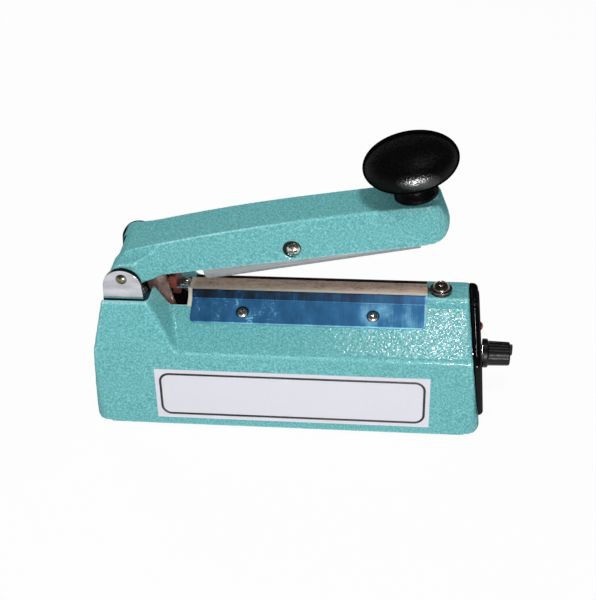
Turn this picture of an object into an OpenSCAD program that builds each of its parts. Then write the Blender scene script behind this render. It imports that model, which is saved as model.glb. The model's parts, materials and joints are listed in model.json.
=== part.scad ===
// Hand bag sealer: an impulse sealer with a hinged pressing arm, in millimetres.
// X runs from the hinge to the control panel, Y to the back, Z up from the counter.

/* [Housing] */
// Width of the casting at its foot
housing_w = 72; // [68:0.5:78]
// Height of the ridge where the wall meets the sloping roof
ridge_h = 42; // [40:0.5:45]
// Width across the two ridges
ridge_w = 69; // [66:0.5:71]
// Height of the flat deck under the seal
deck_h = 58.4; // [55:0.2:64]
// Width of the deck
deck_w = 11.6; // [11.2:0.1:12.6]
// Height of the deck's steep sides
deck_step = 3.2; // [2.8:0.1:3.6]
// Wall thickness of the casting
wall = 3; // [2.6:0.1:3.4]
// Length of the casting past the clamp plates, at the panel's end
end_room = 27.4; // [25:0.2:31]
// Height of the rubber feet below the casting
foot_h = 2; // [1.8:0.1:3]

/* [Hinge] */
// Distance of the hinge pin from the casting's left end
pin_in = 18.2; // [17:0.1:20]
// Height of the hinge pin above the deck
pin_up = 17.1; // [16.6:0.1:18]
// Diameter of the hinge pin
pin_d = 5; // [4.6:0.1:5.4]
// Height of the hinge block's cheeks above the deck
block_up = 6.1; // [5.6:0.1:6.8]
// Width of the hinge block at its top
block_w = 52; // [50:0.2:54]
// Thickness of the bracket's sheet
bracket_t = 2.5; // [2.2:0.1:2.8]
// Angle at which the spring holds the arm up
rest_deg = 9.3; // [9:0.1:10]

/* [Arm] */
// Length of the arm past the clamp plates
arm_over = 11.1; // [10:0.1:13]
// Width of the arm at its lower edge
arm_w = 26.8; // [26:0.1:28]
// Depth of the arm's lower edge below the pin
arm_drop = 6.1; // [5.6:0.1:6.4]
// Height of the arm's crown above the pin
arm_rise = 14; // [13.5:0.1:15]
// Wall thickness of the arm
arm_wall = 2.5; // [2.3:0.1:2.8]
// How much shorter the press bar is than the clamp plates
press_short = 8.7; // [7:0.1:12]
// Distance of the press bar's screw from the middle of the bar
pivot_off = 5; // [4:0.1:6]
// Distance of the pad's face below the press bar's screw
pad_low = 13.9; // [13.6:0.1:14.2]
// Slant of the press bar against the arm at rest
press_deg = 2.25; // [2:0.05:2.4]

/* [Grip and timer] */
// Diameter of the mushroom grip
grip_d = 43.9; // [40:0.1:47]
// Thickness of the mushroom grip's head
grip_t = 20.6; // [19:0.2:22]
// Distance of the grip's axis from the arm's nose
grip_in = 13.5; // [13:0.1:16]
// Height of the timer knob's axis
timer_h = 23; // [22:0.1:24]
// Diameter of the timer knob's flange
timer_d = 14.4; // [14:0.1:16]
// Height of the indicator lamp
lamp_h = 39.3; // [38.5:0.1:40]

/* [Seal] */
// Length of the clamp plates
plate_l = 112.7; // [105:0.1:130]
// Distance of the clamp plates from the hinge pin
seal_in = 29.7; // [29:0.1:31]
// Thickness of the clamp plates
plate_t = 1; // [0.8:0.1:1.2]
// Thickness of the strip under the heating element
strip_t = 1.2; // [1:0.1:1.4]
// Thickness of the release cloth
cloth_t = 0.25; // [0.2:0.05:0.3]

/* [Hidden] */
$fn = 48;
// Joined shapes overlap by a hair, and cutters reach past the faces that they cut
EPS = 0.01;
OVER = 1;
FAR = 150;
// Clearances: bodies that move apart, running fits, holes round screws, room inside the casting
gap_move = 0.4;
gap_run = 0.05;
gap_hole = 0.1;
gap_room = 1;

// Screws by the radius of their shanks, and their pan heads as shares of it
screw4_r = 2;
screw35_r = 1.7;
screw3_r = 1.5;
screw26_r = 1.3;
screw24_r = 1.2;
HEAD_R = 1.8;
HEAD_H = 1;
low_head = 1.2;

// Lengths along the sealer, from the hinge to the panel
housing_l = pin_in + seal_in + plate_l + end_room;
foot_x = housing_l / 2;
pin_x = -foot_x + pin_in;
plate_left = pin_x + seal_in;
plate_right = plate_left + plate_l;
seal_x = (plate_left + plate_right) / 2;
press_l = plate_l - press_short;
arm_l = seal_in + plate_l + arm_over;
pivot_out = seal_x - pin_x - pivot_off;
grip_out = arm_l - grip_in;

// Casting outline
end_fall = 0.122;
lip_h = 11;
lip_t = wall + 1;
corner_r = 8;
ridge_r = 2.5;
hollow_r = 3;
ridge_in = 3.5;
top_in = 7.8;
left_ridge_x = -foot_x + ridge_in;
left_top_x = -foot_x + top_in;
shoulder_h = deck_h - deck_step;
step_in = 1;
shoulder_w = deck_w + 2 * step_in;
roof_fall = (shoulder_h - ridge_h) / ((ridge_w - shoulder_w) / 2);
roof_deg = atan(roof_fall);
roof_drop = wall / cos(roof_deg);
wall_lean = atan((housing_w - ridge_w) / 2 / ridge_h);
rebate = 2;
function roof_z(y) = shoulder_h - (abs(y) - shoulder_w / 2) * roof_fall;
function end_x(z) = foot_x - end_fall * z;
function wall_y(z) = housing_w / 2 - z * tan(wall_lean);

// Bosses for the feet and for the panel's screws
foot_in = [16, 12];
foot_pos = [foot_x - foot_in[0], housing_w / 2 - foot_in[1]];
foot_r = 7;
foot_seat = 0.3;
foot_screw_l = 14;
boss_r = 4.5;
boss_top = roof_z(foot_pos[1] + boss_r) - wall / 2;
panel_boss_l = 20;
panel_boss_floor = 5;
panel_low_z = 17.5;
panel_top_y = 15.5;
panel_screw_in = 7.2;
panel_screw_pos = [[wall_y(panel_low_z) - panel_screw_in, panel_low_z],
    [panel_top_y, roof_z(panel_top_y) - panel_screw_in]];

// Hinge block and the openings in the roof
pin_h = deck_h + pin_up;
pin_r = pin_d / 2;
block_h = deck_h + block_up;
block_right = pin_x + 12.3;
block_foot = block_right + 13.5;
block_ridge_r = 14;
block_end_r = 12;
shelf_h = deck_h - 6.4;
shelf_low = shelf_h - 3.5;
channel_right = block_right - 1;
pocket_h = shelf_h - 1;
pocket_left = channel_right - EPS;
pocket_right = plate_left - 0.9;
pocket_half = 11;
ear_out = block_w / 2 - 2.9;
ear_in = ear_out - bracket_t;
ear_r = 9.2;
ear_z = pin_h - 4.4;
bracket_foot = [left_top_x - 0.2, channel_right - 0.8];
bracket_screw_l = 6;
pin_head_r = pin_r + 0.2;
pin_head_h = 1.3;

// Arm, measured from the pin
arm_hinge_r = 6.2;
heel_r = arm_hinge_r - 0.3;
heel_half = 50;
heel_out = 2;
barrel_out = ear_in - gap_move;
barrel_in = 9;
bush_r = pin_r + 1.5;
crown_x = 105;
crown_r = 1080;
function crown(x) = arm_rise - (x - crown_x) * (x - crown_x) / (2 * crown_r);
arm_top_half = arm_w / 2 - 1.2;
arm_edge_r = 1.6;
arm_in = arm_w / 2 - arm_wall;
belly_x = 12;
flare_out = 7;
flare_end = 17;
flare_r = 4;
cove_r = 4;
nose_r = 5;
nose_lean = 2.5;
nose_plan_r = arm_w / 2 - 0.9;
chin_r = 6;
roof_t = 3;
hollow_end = arm_l - arm_wall - nose_lean - 1;
grip_foot_r = 10.2;
grip_boss_r = grip_foot_r - 0.6;
grip_post_r = 7;
grip_post_low = 2;
// The seat clears the highest place of the crown under the grip's foot
grip_seat = crown(max(grip_out - grip_foot_r, min(grip_out + grip_foot_r, crown_x))) + 0.02;

// Press bar, measured from its screw
pivot_z = -0.7;
pivot_seat = 1;
pivot_sink_r = 4.4;
press_w = 12;
press_h = 5.6;
press_wall = 1.4;
press_left = -press_l / 2 + pivot_off;
press_low = -pad_low + 2.2;
press_top = press_low + press_h;
pad_w = 9;
lug_half = 8;
lug_t = 2;
lug_r = 4;
pivot_nut = [4, 2.6];

// Seal stack, from the deck up
strip_w = 9.6;
ribbon_t = 0.3;
ribbon_w = 3;
ribbon_z = deck_h + strip_t;
ribbon_top = ribbon_z + ribbon_t;
seal_top = ribbon_top + cloth_t;
cloth_edge = 11.2;
cloth_over = [1.2, 0.4];
strip_in = [2, 1];
plate_edge = 19.6;
lip_top = seal_top - 0.1;
clamp_pitch = plate_l - 50.2;
clamp_y = 14;
clamp_screw_l = 7;
clamp_head = [2.6, 1.5];

// Terminals at the ends of the heating element
right_term_x = plate_right + 6.8;
term_bush_r = 4.8;
term_neck_r = 3;
term_neck_l = 7;
term_screw_l = 16;
term_head = [4.2, 3.4];
washer = [5.3, 1];
lug_ring_r = 4;
block_x = pocket_right - 8.9;
block_t = 4;
block_y = [-5, 3, 8.4];
block_top = ribbon_z + 6.4;
block_screw_y = (block_y[1] + block_y[2]) / 2;
block_screw_in = 4.5;
leaf_t = 0.8;
leaf_half = 4;
leaf_x = block_x + block_t / 2 + 0.3;
leaf_tip = pocket_right - 0.6;
leaf_screw_y = -1;
leaf_screw_in = 4;
clamp_x = (leaf_x + leaf_tip) / 2 + 0.6;
clamp_half = [2.4, 3.4];
clamp_ring_r = 2.8;
element_screw_l = 5;

// Travel of the arm and of the press bar, worked out from the seal
pivot_r = norm([pivot_out, pivot_z]);
pivot_rest = rest_deg + atan2(pivot_z, pivot_out);
pivot_shut_z = seal_top + gap_move + pad_low;
pivot_shut = asin((pivot_shut_z - pin_h) / pivot_r);
close_deg = pivot_rest - pivot_shut;
level_deg = rest_deg + press_deg - close_deg;

// Switch and lever: the lever's flange is measured from the pin along the arm
lever_t = 2;
lever_y = -arm_in + 2.2;
lever_flange = [13.5, 29.5];
lever_flange_w = 13.6;
lever_pad_z = 3.5;
lever_plate = [6.9, 16.15];
lever_plate_z = [-2, -16.2];
lever_strip = 4.9;
lever_screw_x = [18, 26];
lever_screw_y = lever_y + 7.5;
lever_screw_l = 5.5;
lever_foot = 3;
lever_reach = [4, 8];
slot_near = lever_y - 0.7;
slot_far = lever_y + lever_t + 2.1;
switch = [15.9, 10.3, 27.8];
switch_y = lever_y + lever_t / 2;
plunger_z = roof_z(switch_y - switch[1] / 2) - roof_drop - gap_room - switch[2] / 2;
lever_tip = lever_plate[1] / cos(rest_deg) + (pin_h - plunger_z) * tan(rest_deg) - lever_foot;
plunger_r = 1.5;
plunger_travel = 1.5;
plunger_in = 5.5;
plunger_bore = 8;
plunger_shut = pin_x + lever_tip * cos(close_deg) - (pin_h - plunger_z) * sin(close_deg);
switch_face = plunger_shut - gap_move - 1.2;
switch_low = plunger_z - switch[2] / 2;
switch_hole = [4, 11.1];
switch_sheet = 1.5;
switch_foot = 13;
switch_foot_x = [4, 12];
switch_foot_y = 8;
slot_low = plunger_z - lever_reach[0] - wall * 3;

// Panel, lamp and timer
panel_fall = 0.072;
panel_r = [2, 4];
function panel_x(z) = foot_x + 1.1 - panel_fall * (z - lip_h);
panel_sink = 0.9;
panel_screw_l = 12;
panel_head_h = 1;
pot_front = end_x(timer_h) - 3.2;
pot_r = 8;
pot_l = 10;
pot_tag = [1, 12, 5];
pot_boss_r = pot_r + 1;
neck_r = 3.5;
shaft_r = 3;
shaft_in = 4;
pot_nut = [4.8, 2];
boss_face = panel_x(timer_h) + 0.5;
knob_back = boss_face + gap_move;
knob_recess = pot_nut[1] + 0.6;
knob_skirt = 0.8;
knob_flange_t = 2.7;
knob_l = 13.4;
knob_r = timer_d / 2 - 1.2;
knob_cap = 2;
flute_step = 30;
flute_r = 0.7;
flute_out = 0.25;
pointer = [1.2, 1.4, 1, 0.6];
lamp_r = 2.5;
lamp_dome = 2.2;
lamp_seat = 0.6;
lamp_in = 4;
lamp_collar = [0.4, 3.6];
middle_x = (knob_back + knob_l + pointer[0] - foot_x) / 2;

// Label on the front wall
label_left = -foot_x + 31.9;
label_right = foot_x - 24.5;
label_h = 28.5;
label_t = 0.2;
label_up = 18.4;

// Base plate, transformer, board and cord inlet
base_t = 1.2;
base_top = rebate;
base_low = rebate - base_t;
base_screw_l = 6;
core = [56, 26, 42];
core_x = -6;
core_mid = base_top + core[2] / 2;
leg = 9;
window = [(core[0] - 4 * leg) / 2, core[2] - 2 * leg];
coil_room = 0.4;
coil_side = 22;
strap_t = 1.2;
strap_w = 20;
strap_foot = 9;
board = [36, 44, 1.6];
board_x = foot_x - 42;
board_z = 10;
board_top = board_z + board[2];
pillar_r = 3;
pillar_in = 4;
pillar_pos = [board[0] / 2 - pillar_in, board[1] / 2 - pillar_in];
board_screw_l = [4.5, 5];
relay_size = [15, 19, 15.5];
relay_pos = [-7, -5];
cap_pos = [[6, -8], [6, 4], [-6, 12]];
cap_r = [4, 5, 4];
cap_h = [12, 16, 12];
grommet_x = foot_x - 36;
grommet_z = 30;
grommet_r = 5;
grommet_bore = 3.2;
grommet_rim = [2, 1];
grommet_l = 7;
grommet_boss = [3, 4];
grommet_face = wall_y(grommet_z - grommet_r - grommet_boss[0]) + gap_hole;

// Torsion spring: its foot leg stands on the bracket, and its other leg lifts the arm
wire_r = 0.75;
wire_sides = 6;
coil_r = pin_r + 1.6;
spring_pitch = 2.05;
spring_turns = 6.25;
rings = 8;
spring_rings = rings * spring_turns;
spring_half = spring_pitch * spring_turns / 2;
spring_rise = coil_r + wire_r + gap_move / 2 - lever_pad_z;
lift_leg = flare_end + 4;
lift_deg = rest_deg - asin(spring_rise / flare_end);
foot_leg = pin_h - shelf_h - bracket_t - wire_r;

// Helpers

function unit(v) = v / norm(v);

// The rounded corner at q between p and s, where q is [x, y, radius]
function corner(p, q, s, n) =
    let (o = [q[0], q[1]], a = unit([p[0], p[1]] - o), b = unit([s[0], s[1]] - o))
    let (h = acos(a * b) / 2, c = o + unit(a + b) * q[2] / sin(h))
    let (u = o + a * q[2] / tan(h) - c, v = o + b * q[2] / tan(h) - c)
    let (t = atan2(u[0] * v[1] - u[1] * v[0], u * v), a0 = atan2(u[1], u[0]))
    [for (i = [0:n]) c + q[2] * [cos(a0 + t * i / n), sin(a0 + t * i / n)]];

// An outline with rounded corners, from a list of [x, y, radius]
function rounded(list, n = 5) = [for (i = [0:len(list) - 1])
    let (q = list[i], p = list[(i + len(list) - 1) % len(list)], s = list[(i + 1) % len(list)])
    each q[2] > 0 ? corner(p, q, s, n) : [[q[0], q[1]]]];

function back(list) = [for (i = [len(list) - 1:-1:0]) list[i]];
function flip(list) = [for (p = list) [-p[0], p[1], p[2]]];
function flat(list) = [for (p = list) [p[0], p[1]]];

// Both halves of an outline given by its points at positive first coordinate, from the foot up
function both_sides(half) = concat(half, flip(back(half)));

// Points on an arc round c, from angle a0 to a1
function arc(c, r, a0, a1, n = 5) =
    [for (i = [0:n]) let (a = a0 + (a1 - a0) * i / n) c + r * [cos(a), sin(a)]];

// A place on the arm, given from the pin, at the rest angle
function arm_point(p) = [pin_x + p[0] * cos(rest_deg) - p[1] * sin(rest_deg),
    pin_h + p[0] * sin(rest_deg) + p[1] * cos(rest_deg)];

module along_x(x0, x1) translate([x0, 0, 0]) rotate([90, 0, 90]) linear_extrude(x1 - x0) children();
module along_y(half) rotate([90, 0, 0]) linear_extrude(2 * half, center = true) children();
module rod_x(x0, x1, r) translate([x0, 0, 0]) rotate([0, 90, 0]) cylinder(r = r, h = x1 - x0);
module rod_y(y0, y1, r) translate([0, y0, 0]) rotate([-90, 0, 0]) cylinder(r = r, h = y1 - y0);
module rod_z(z0, z1, r) translate([0, 0, z0]) cylinder(r = r, h = z1 - z0);
module slab(a, b) translate(a) cube(b - a);
module at_corners(pos) for (sx = [-1, 1], sy = [-1, 1]) translate([sx * pos[0], sy * pos[1], 0]) children();
module placed() translate([-middle_x, 0, foot_h]) children();
module arm_frame() translate([pin_x, 0, pin_h]) rotate([0, -rest_deg, 0]) children();
module press_frame() arm_frame() translate([pivot_out, 0, pivot_z]) rotate([0, -press_deg, 0]) children();

// A low dome of radius r and height h on the plane z = 0
module dome(r, h) {
    ball = (r * r + h * h) / (2 * h);
    intersection() {
        translate([0, 0, h - ball]) sphere(r = ball);
        cylinder(r = r, h = h + EPS);
    }
}

// A cross slot cut into a screw head whose top is at z = 0
module cross_slot(size, depth) {
    for (a = [0, 90]) rotate(a) slab([-size / 2, -size / 8, -depth], [size / 2, size / 8, OVER]);
}

// A pan head screw: its seat is z = 0, the head stands up and the shank hangs down
module pan_screw(r, length, head_r, head_h) {
    wide = head_r ? head_r : r * HEAD_R;
    high = head_h ? head_h : r * HEAD_H;
    difference() {
        union() {
            dome(wide, high);
            rod_z(-length, EPS, r);
        }
        translate([0, 0, high]) cross_slot(wide * 1.1, high * 0.45);
    }
}

// A round tube along a list of points, closed at both ends
module tube(path, r, sides) {
    n = len(path);
    function ahead(i) = unit(path[min(i + 1, n - 1)] - path[max(i - 1, 0)]);
    function ring(i) = let (t = ahead(i), u = unit(cross(t, [0.11, 0.97, 0.2])), v = cross(t, u))
        [for (k = [0:sides - 1]) path[i] + r * (cos(360 * k / sides) * u + sin(360 * k / sides) * v)];
    points = [for (i = [0:n - 1]) each ring(i)];
    skin = [for (i = [0:n - 2], k = [0:sides - 1]) let (m = (k + 1) % sides)
        each [[i * sides + k, (i + 1) * sides + k, (i + 1) * sides + m],
            [i * sides + k, (i + 1) * sides + m, i * sides + m]]];
    polyhedron(points, concat(skin, [[for (k = [0:sides - 1]) k]],
        [[for (k = [sides - 1:-1:0]) (n - 1) * sides + k]]));
}

// Housing

function house_half() = [[housing_w / 2, 0, 0], [ridge_w / 2, ridge_h, ridge_r],
    [shoulder_w / 2, shoulder_h, 0], [deck_w / 2, deck_h, 0]];

function hollow_half() = let (y = ridge_w / 2 - wall) [[housing_w / 2 - wall, -OVER, 0],
    [y, roof_z(y) - roof_drop, hollow_r], [shoulder_w / 2, shoulder_h - roof_drop, 0]];

// The casting's plan drawn in by inset, up to x = right, with its right corners rounded or square
module plan(inset, right, square = false) {
    r = corner_r - inset / 2;
    left = -foot_x + inset;
    half = housing_w / 2 - inset;
    right_r = square ? 0 : r;
    polygon(rounded([[left, -half, r], [right, -half, right_r], [right, half, right_r], [left, half, r]]));
}

module housing_outside() {
    intersection() {
        along_x(-foot_x, foot_x) polygon(rounded(both_sides(house_half())));
        along_y(housing_w) polygon([[-foot_x, 0], [foot_x, 0], [end_x(deck_h), deck_h],
            [left_top_x, deck_h], [left_ridge_x, ridge_h]]);
        linear_extrude(deck_h) plan(0, foot_x);
    }
    intersection() {
        along_x(-foot_x, block_foot + EPS) polygon(rounded(both_sides([[housing_w / 2, 0, 0],
            [ridge_w / 2, ridge_h, block_ridge_r], [block_w / 2, block_h, 0]])));
        along_y(housing_w) polygon(rounded([[-foot_x, 0, 0], [block_foot, 0, 0], [block_foot, ridge_h, 0],
            [block_right, block_h, 0], [left_top_x, block_h, 0], [left_ridge_x, ridge_h, block_end_r]]));
        linear_extrude(block_h) plan(0, foot_x);
    }
}

module housing_hollow() {
    inside = left_ridge_x + wall;
    side = [[-foot_x + wall, -OVER], [inside, ridge_h], [inside + wall / 5, shelf_low],
        [pocket_right + wall, shelf_low], [pocket_right + wall, deck_h], [FAR, deck_h], [FAR, lip_h],
        [foot_x - lip_t, lip_h], [foot_x - lip_t, -OVER]];
    intersection() {
        along_x(-foot_x, FAR) polygon(rounded(both_sides(hollow_half())));
        along_y(housing_w) polygon(side);
        translate([0, 0, -OVER]) linear_extrude(deck_h) plan(wall, FAR, true);
    }
}

module at_panel_screws() for (p = panel_screw_pos, s = [-1, 1]) translate([0, s * p[0], p[1]]) children();

module at_clamp_screws(sides) {
    for (s = sides, k = [-1, 1]) translate([seal_x + k * clamp_pitch / 2, s * clamp_y, roof_z(clamp_y)])
        rotate([-s * roof_deg, 0, 0]) children();
}

module at_bracket_screws() {
    for (x = [-6, 3]) translate([pin_x + x, 0, shelf_h + bracket_t]) children();
}

module housing() color("MediumTurquoise") difference() {
    union() {
        difference() {
            housing_outside();
            housing_hollow();
        }
        at_corners(foot_pos) rod_z(rebate, boss_top, boss_r);
        intersection() {
            housing_outside();
            at_panel_screws() rod_x(foot_x - panel_boss_l, foot_x, boss_r);
        }
        translate([grommet_x, 0, grommet_z])
            rod_y(grommet_face - grommet_boss[1], grommet_face, grommet_r + grommet_boss[0]);
    }
    translate([0, 0, -OVER]) linear_extrude(rebate + OVER) plan(rebate, foot_x - rebate);
    slab([-FAR, -ear_out - gap_run, shelf_h], [channel_right, ear_out + gap_run, FAR]);
    slab([pocket_left, slot_far, pocket_h], [pocket_right, pocket_half, FAR]);
    slab([pocket_left, slot_near, slot_low], [pocket_right, slot_far + EPS, FAR]);
    at_corners(foot_pos) rod_z(-OVER, foot_screw_l + OVER, screw35_r + gap_run);
    at_panel_screws() rod_x(foot_x - panel_boss_l + panel_boss_floor, FAR, screw3_r + gap_run);
    translate([grommet_x, 0, grommet_z]) rod_y(0, FAR, grommet_r);
    translate([right_term_x, 0, 0]) rod_z(deck_h - term_neck_l - OVER, FAR, term_neck_r + gap_run);
    at_clamp_screws([-1, 1]) rod_z(-clamp_screw_l - OVER, clamp_screw_l, screw3_r + gap_run);
    at_bracket_screws() rod_z(-bracket_screw_l - OVER, bracket_t, screw35_r + gap_run);
    translate([block_x, block_screw_y, 0]) rod_z(shelf_low - OVER, pocket_h + OVER, screw3_r + gap_hole);
}

module base_plate() color("Silver") difference() {
    room = rebate + gap_hole;
    translate([0, 0, base_low]) linear_extrude(base_t) plan(room, foot_x - room);
    at_corners(foot_pos) rod_z(-OVER, FAR, screw35_r + gap_hole);
    at_strap_screws() rod_z(-OVER, FAR, screw3_r + gap_hole);
    at_switch_screws() rod_z(-OVER, FAR, screw3_r + gap_hole);
    at_pillars() rod_z(-OVER, FAR, screw3_r + gap_hole);
}

module rubber_feet() color("DimGray") at_corners(foot_pos) difference() {
    rod_z(-foot_h, base_low, foot_r);
    rod_z(-FAR, FAR, screw35_r + gap_hole);
    rod_z(-FAR, -foot_seat, foot_r / 2);
}

module foot_screws() color("LightGray") at_corners(foot_pos) translate([0, 0, -foot_seat])
    mirror([0, 0, 1]) pan_screw(screw35_r, foot_screw_l, head_h = low_head);

// Control panel and timer

module at_panel_seats() {
    for (p = panel_screw_pos, s = [-1, 1]) translate([panel_x(p[1]) - panel_sink, s * p[0], p[1]]) children();
}

module control_panel() color("Black") difference() {
    union() {
        intersection() {
            along_x(0, FAR) polygon(rounded(both_sides(house_half())));
            along_y(housing_w) polygon(rounded([[end_x(lip_h), lip_h, 0], [panel_x(lip_h), lip_h, panel_r[0]],
                [panel_x(deck_h), deck_h, panel_r[1]], [end_x(deck_h), deck_h, 0]]));
        }
        translate([0, 0, timer_h]) rod_x(pot_front, boss_face, pot_boss_r);
    }
    translate([0, 0, timer_h]) rod_x(0, FAR, neck_r + gap_hole);
    translate([0, 0, lamp_h]) rod_x(0, FAR, lamp_r + gap_run);
    at_panel_screws() rod_x(0, FAR, screw3_r + gap_hole);
    at_panel_seats() rod_x(0, FAR, screw3_r * HEAD_R + gap_move);
}

module panel_screws() color("DarkSlateGray") at_panel_seats() rotate([0, 90, 0])
    pan_screw(screw3_r, panel_screw_l, head_h = panel_head_h);

module timer_knob() color("DimGray") translate([0, 0, timer_h]) difference() {
    face = knob_back + knob_l;
    union() {
        rod_x(knob_back, knob_back + knob_flange_t, timer_d / 2);
        rod_x(knob_back, face, knob_r);
        slab([face - EPS, -pointer[1] / 2, -pointer[2]],
            [face + pointer[0], pointer[1] / 2, knob_r - pointer[3]]);
    }
    rod_x(0, knob_back + knob_recess, knob_r - knob_skirt);
    rod_x(0, face - knob_cap, shaft_r);
    for (a = [flute_step / 2:flute_step:360]) rotate([a, 0, 0]) translate([0, 0, knob_r + flute_out])
        rod_x(knob_back + knob_flange_t, FAR, flute_r);
}

module timer_shaft() color("Silver") translate([0, 0, timer_h])
    rod_x(pot_front - shaft_in, knob_back + knob_l - knob_cap, shaft_r);

module potentiometer() color("Goldenrod") translate([0, 0, timer_h]) difference() {
    union() {
        rod_x(pot_front - pot_l, pot_front, pot_r);
        rod_x(pot_front - EPS, boss_face + knob_recess - gap_move, neck_r);
        translate([pot_front - pot_l / 2, -pot_tag[1] / 2, -pot_r - pot_tag[2] / 2]) cube(pot_tag);
    }
    rod_x(pot_front - shaft_in - gap_hole, FAR, shaft_r + gap_run);
}

module potentiometer_nut() color("Silver") translate([0, 0, timer_h]) difference() {
    translate([boss_face, 0, 0]) rotate([0, 90, 0]) cylinder(r = pot_nut[0], h = pot_nut[1], $fn = 6);
    rod_x(0, FAR, neck_r);
}

module indicator_lamp() color("Red") translate([0, 0, lamp_h]) {
    rear = end_x(lamp_h) - lamp_in;
    seat = panel_x(lamp_h) - lamp_seat;
    rod_x(rear, seat, lamp_r);
    translate([seat, 0, 0]) rotate([0, 90, 0]) dome(lamp_r, lamp_dome);
    rod_x(rear, rear + lamp_collar[1], lamp_r + lamp_collar[0]);
}

module label_plate() color("WhiteSmoke") translate([0, -housing_w / 2, 0]) rotate([-wall_lean, 0, 0])
    slab([label_left, -label_t, label_up - label_h / 2], [label_right, 0, label_up + label_h / 2]);

module cord_grommet() color("Black") translate([grommet_x, 0, grommet_z]) difference() {
    union() {
        rod_y(grommet_face - grommet_l, grommet_face + EPS, grommet_r);
        rod_y(grommet_face, grommet_face + grommet_rim[1], grommet_r + grommet_rim[0]);
    }
    rod_y(0, FAR, grommet_bore);
}

// Hinge

module hinge_bracket() color("Gainsboro") difference() {
    left = bracket_foot[0];
    right = bracket_foot[1];
    union() {
        slab([left, -ear_out, shelf_h], [right, ear_out, shelf_h + bracket_t]);
        for (s = [-1, 1]) translate([0, s * (ear_in + bracket_t / 2), 0]) along_y(bracket_t / 2) union() {
            polygon([[left, shelf_h], [right, shelf_h], [pin_x + ear_r, ear_z], [pin_x - ear_r, ear_z]]);
            translate([pin_x, ear_z]) circle(r = ear_r);
        }
    }
    translate([pin_x, 0, pin_h]) rod_y(-FAR, FAR, pin_r);
    at_bracket_screws() rod_z(-bracket_screw_l, OVER, screw35_r + gap_hole);
}

module bracket_screws() color("LightGray") at_bracket_screws() pan_screw(screw35_r, bracket_screw_l);

module hinge_pin() color("Gray") translate([pin_x, 0, pin_h]) {
    rod_y(-ear_out - EPS, ear_out + EPS, pin_r);
    for (s = [-1, 1]) translate([0, s * ear_out, 0]) rotate([-s * 90, 0, 0]) dome(pin_head_r, pin_head_h);
}

module hinge_bushes() color("Peru") arm_frame() for (y = [-barrel_out, barrel_in]) difference() {
    rod_y(y, y + barrel_out - barrel_in, bush_r);
    rod_y(-FAR, FAR, pin_r + gap_run);
}

function wound(i) = let (a = 180 + 360 * i / rings - lift_deg * i / spring_rings)
    [coil_r * cos(a), -spring_half + spring_pitch * i / rings, -coil_r * sin(a)];

function spring_path() = let (last = wound(spring_rings), lift = [cos(lift_deg), 0, sin(lift_deg)])
    concat([for (k = [2:-1:1]) [-coil_r, -spring_half, -foot_leg * k / 2]],
        [for (i = [0:spring_rings]) wound(i)], [for (k = [1:2]) last + lift * lift_leg * k / 2]);

// The least gap between the spring's turns, measured between points at least half a turn apart
function least_gap(path) = min([for (i = [0:len(path) - 1], j = [i + rings / 2:1:len(path) - 1])
    norm(path[i] - path[j])]) - 2 * wire_r;

module return_spring() color("DarkGray") translate([pin_x, 0, pin_h]) tube(spring_path(), wire_r, wire_sides);

// Arm, modelled lying flat from the pin

module arm_side() {
    steps = 12;
    tip = arm_l - nose_lean - nose_r;
    top = [for (i = [0:steps]) let (x = heel_out + (tip - heel_out) * i / steps) [x, crown(x)]];
    nose = arc([tip, crown(tip) - nose_r], nose_r, 80, 0);
    chin = arc([arm_l - chin_r, -arm_drop + chin_r], chin_r, 0, -90);
    heel = arc([0, 0], heel_r, 180 + heel_half, 180 - heel_half);
    polygon(concat(top, nose, chin, [[belly_x, -arm_drop]], heel));
}

module arm_plan() {
    half = arm_w / 2;
    polygon(rounded([[-FAR, -barrel_out, 0], [flare_out, -barrel_out, flare_r], [flare_end, -half, flare_r],
        [arm_l, -half, nose_plan_r], [arm_l, half, nose_plan_r], [flare_end, half, flare_r],
        [flare_out, barrel_out, flare_r], [-FAR, barrel_out, 0]]));
}

module arm_section() {
    polygon(rounded(both_sides([[arm_w / 2, -FAR, 0], [arm_w / 2, -arm_drop, 0],
        [arm_top_half, arm_rise, arm_edge_r]])));
}

// Near the pin the arm widens to its barrels, and its shoulders fall to them
module flare_section() {
    polygon(rounded(both_sides([[barrel_out, -FAR, 0], [barrel_out, arm_hinge_r - 0.3, arm_edge_r],
        [arm_w / 2 + 0.5, arm_hinge_r + 1, cove_r], [arm_top_half, crown(flare_end), arm_edge_r]])));
}

module arm_hollow() {
    start = lever_flange[1] + gap_room / 2;
    steps = 5;
    roof = [for (i = [steps:-1:0]) let (x = start + (hollow_end - start) * i / steps) [x, crown(x) - roof_t]];
    half_r = nose_plan_r - arm_wall;
    difference() {
        intersection() {
            along_y(arm_in) polygon(concat([[-FAR, -FAR], [hollow_end, -FAR]], roof, [[start, lever_pad_z],
                [arm_hinge_r - OVER, lever_pad_z], [arm_hinge_r - OVER, -OVER], [-FAR, -OVER]]));
            translate([0, 0, -FAR]) linear_extrude(2 * FAR) polygon(rounded([[-FAR, -arm_in, 0],
                [arm_l - arm_wall, -arm_in, half_r], [arm_l - arm_wall, arm_in, half_r], [-FAR, arm_in, 0]]));
        }
        rod_y(-barrel_out, barrel_out, arm_hinge_r);
        translate([grip_out, 0, 0]) rod_z(grip_post_low, FAR, grip_post_r);
    }
}

module at_lever_screws() for (x = lever_screw_x) translate([x, lever_screw_y, lever_pad_z]) children();

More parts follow.
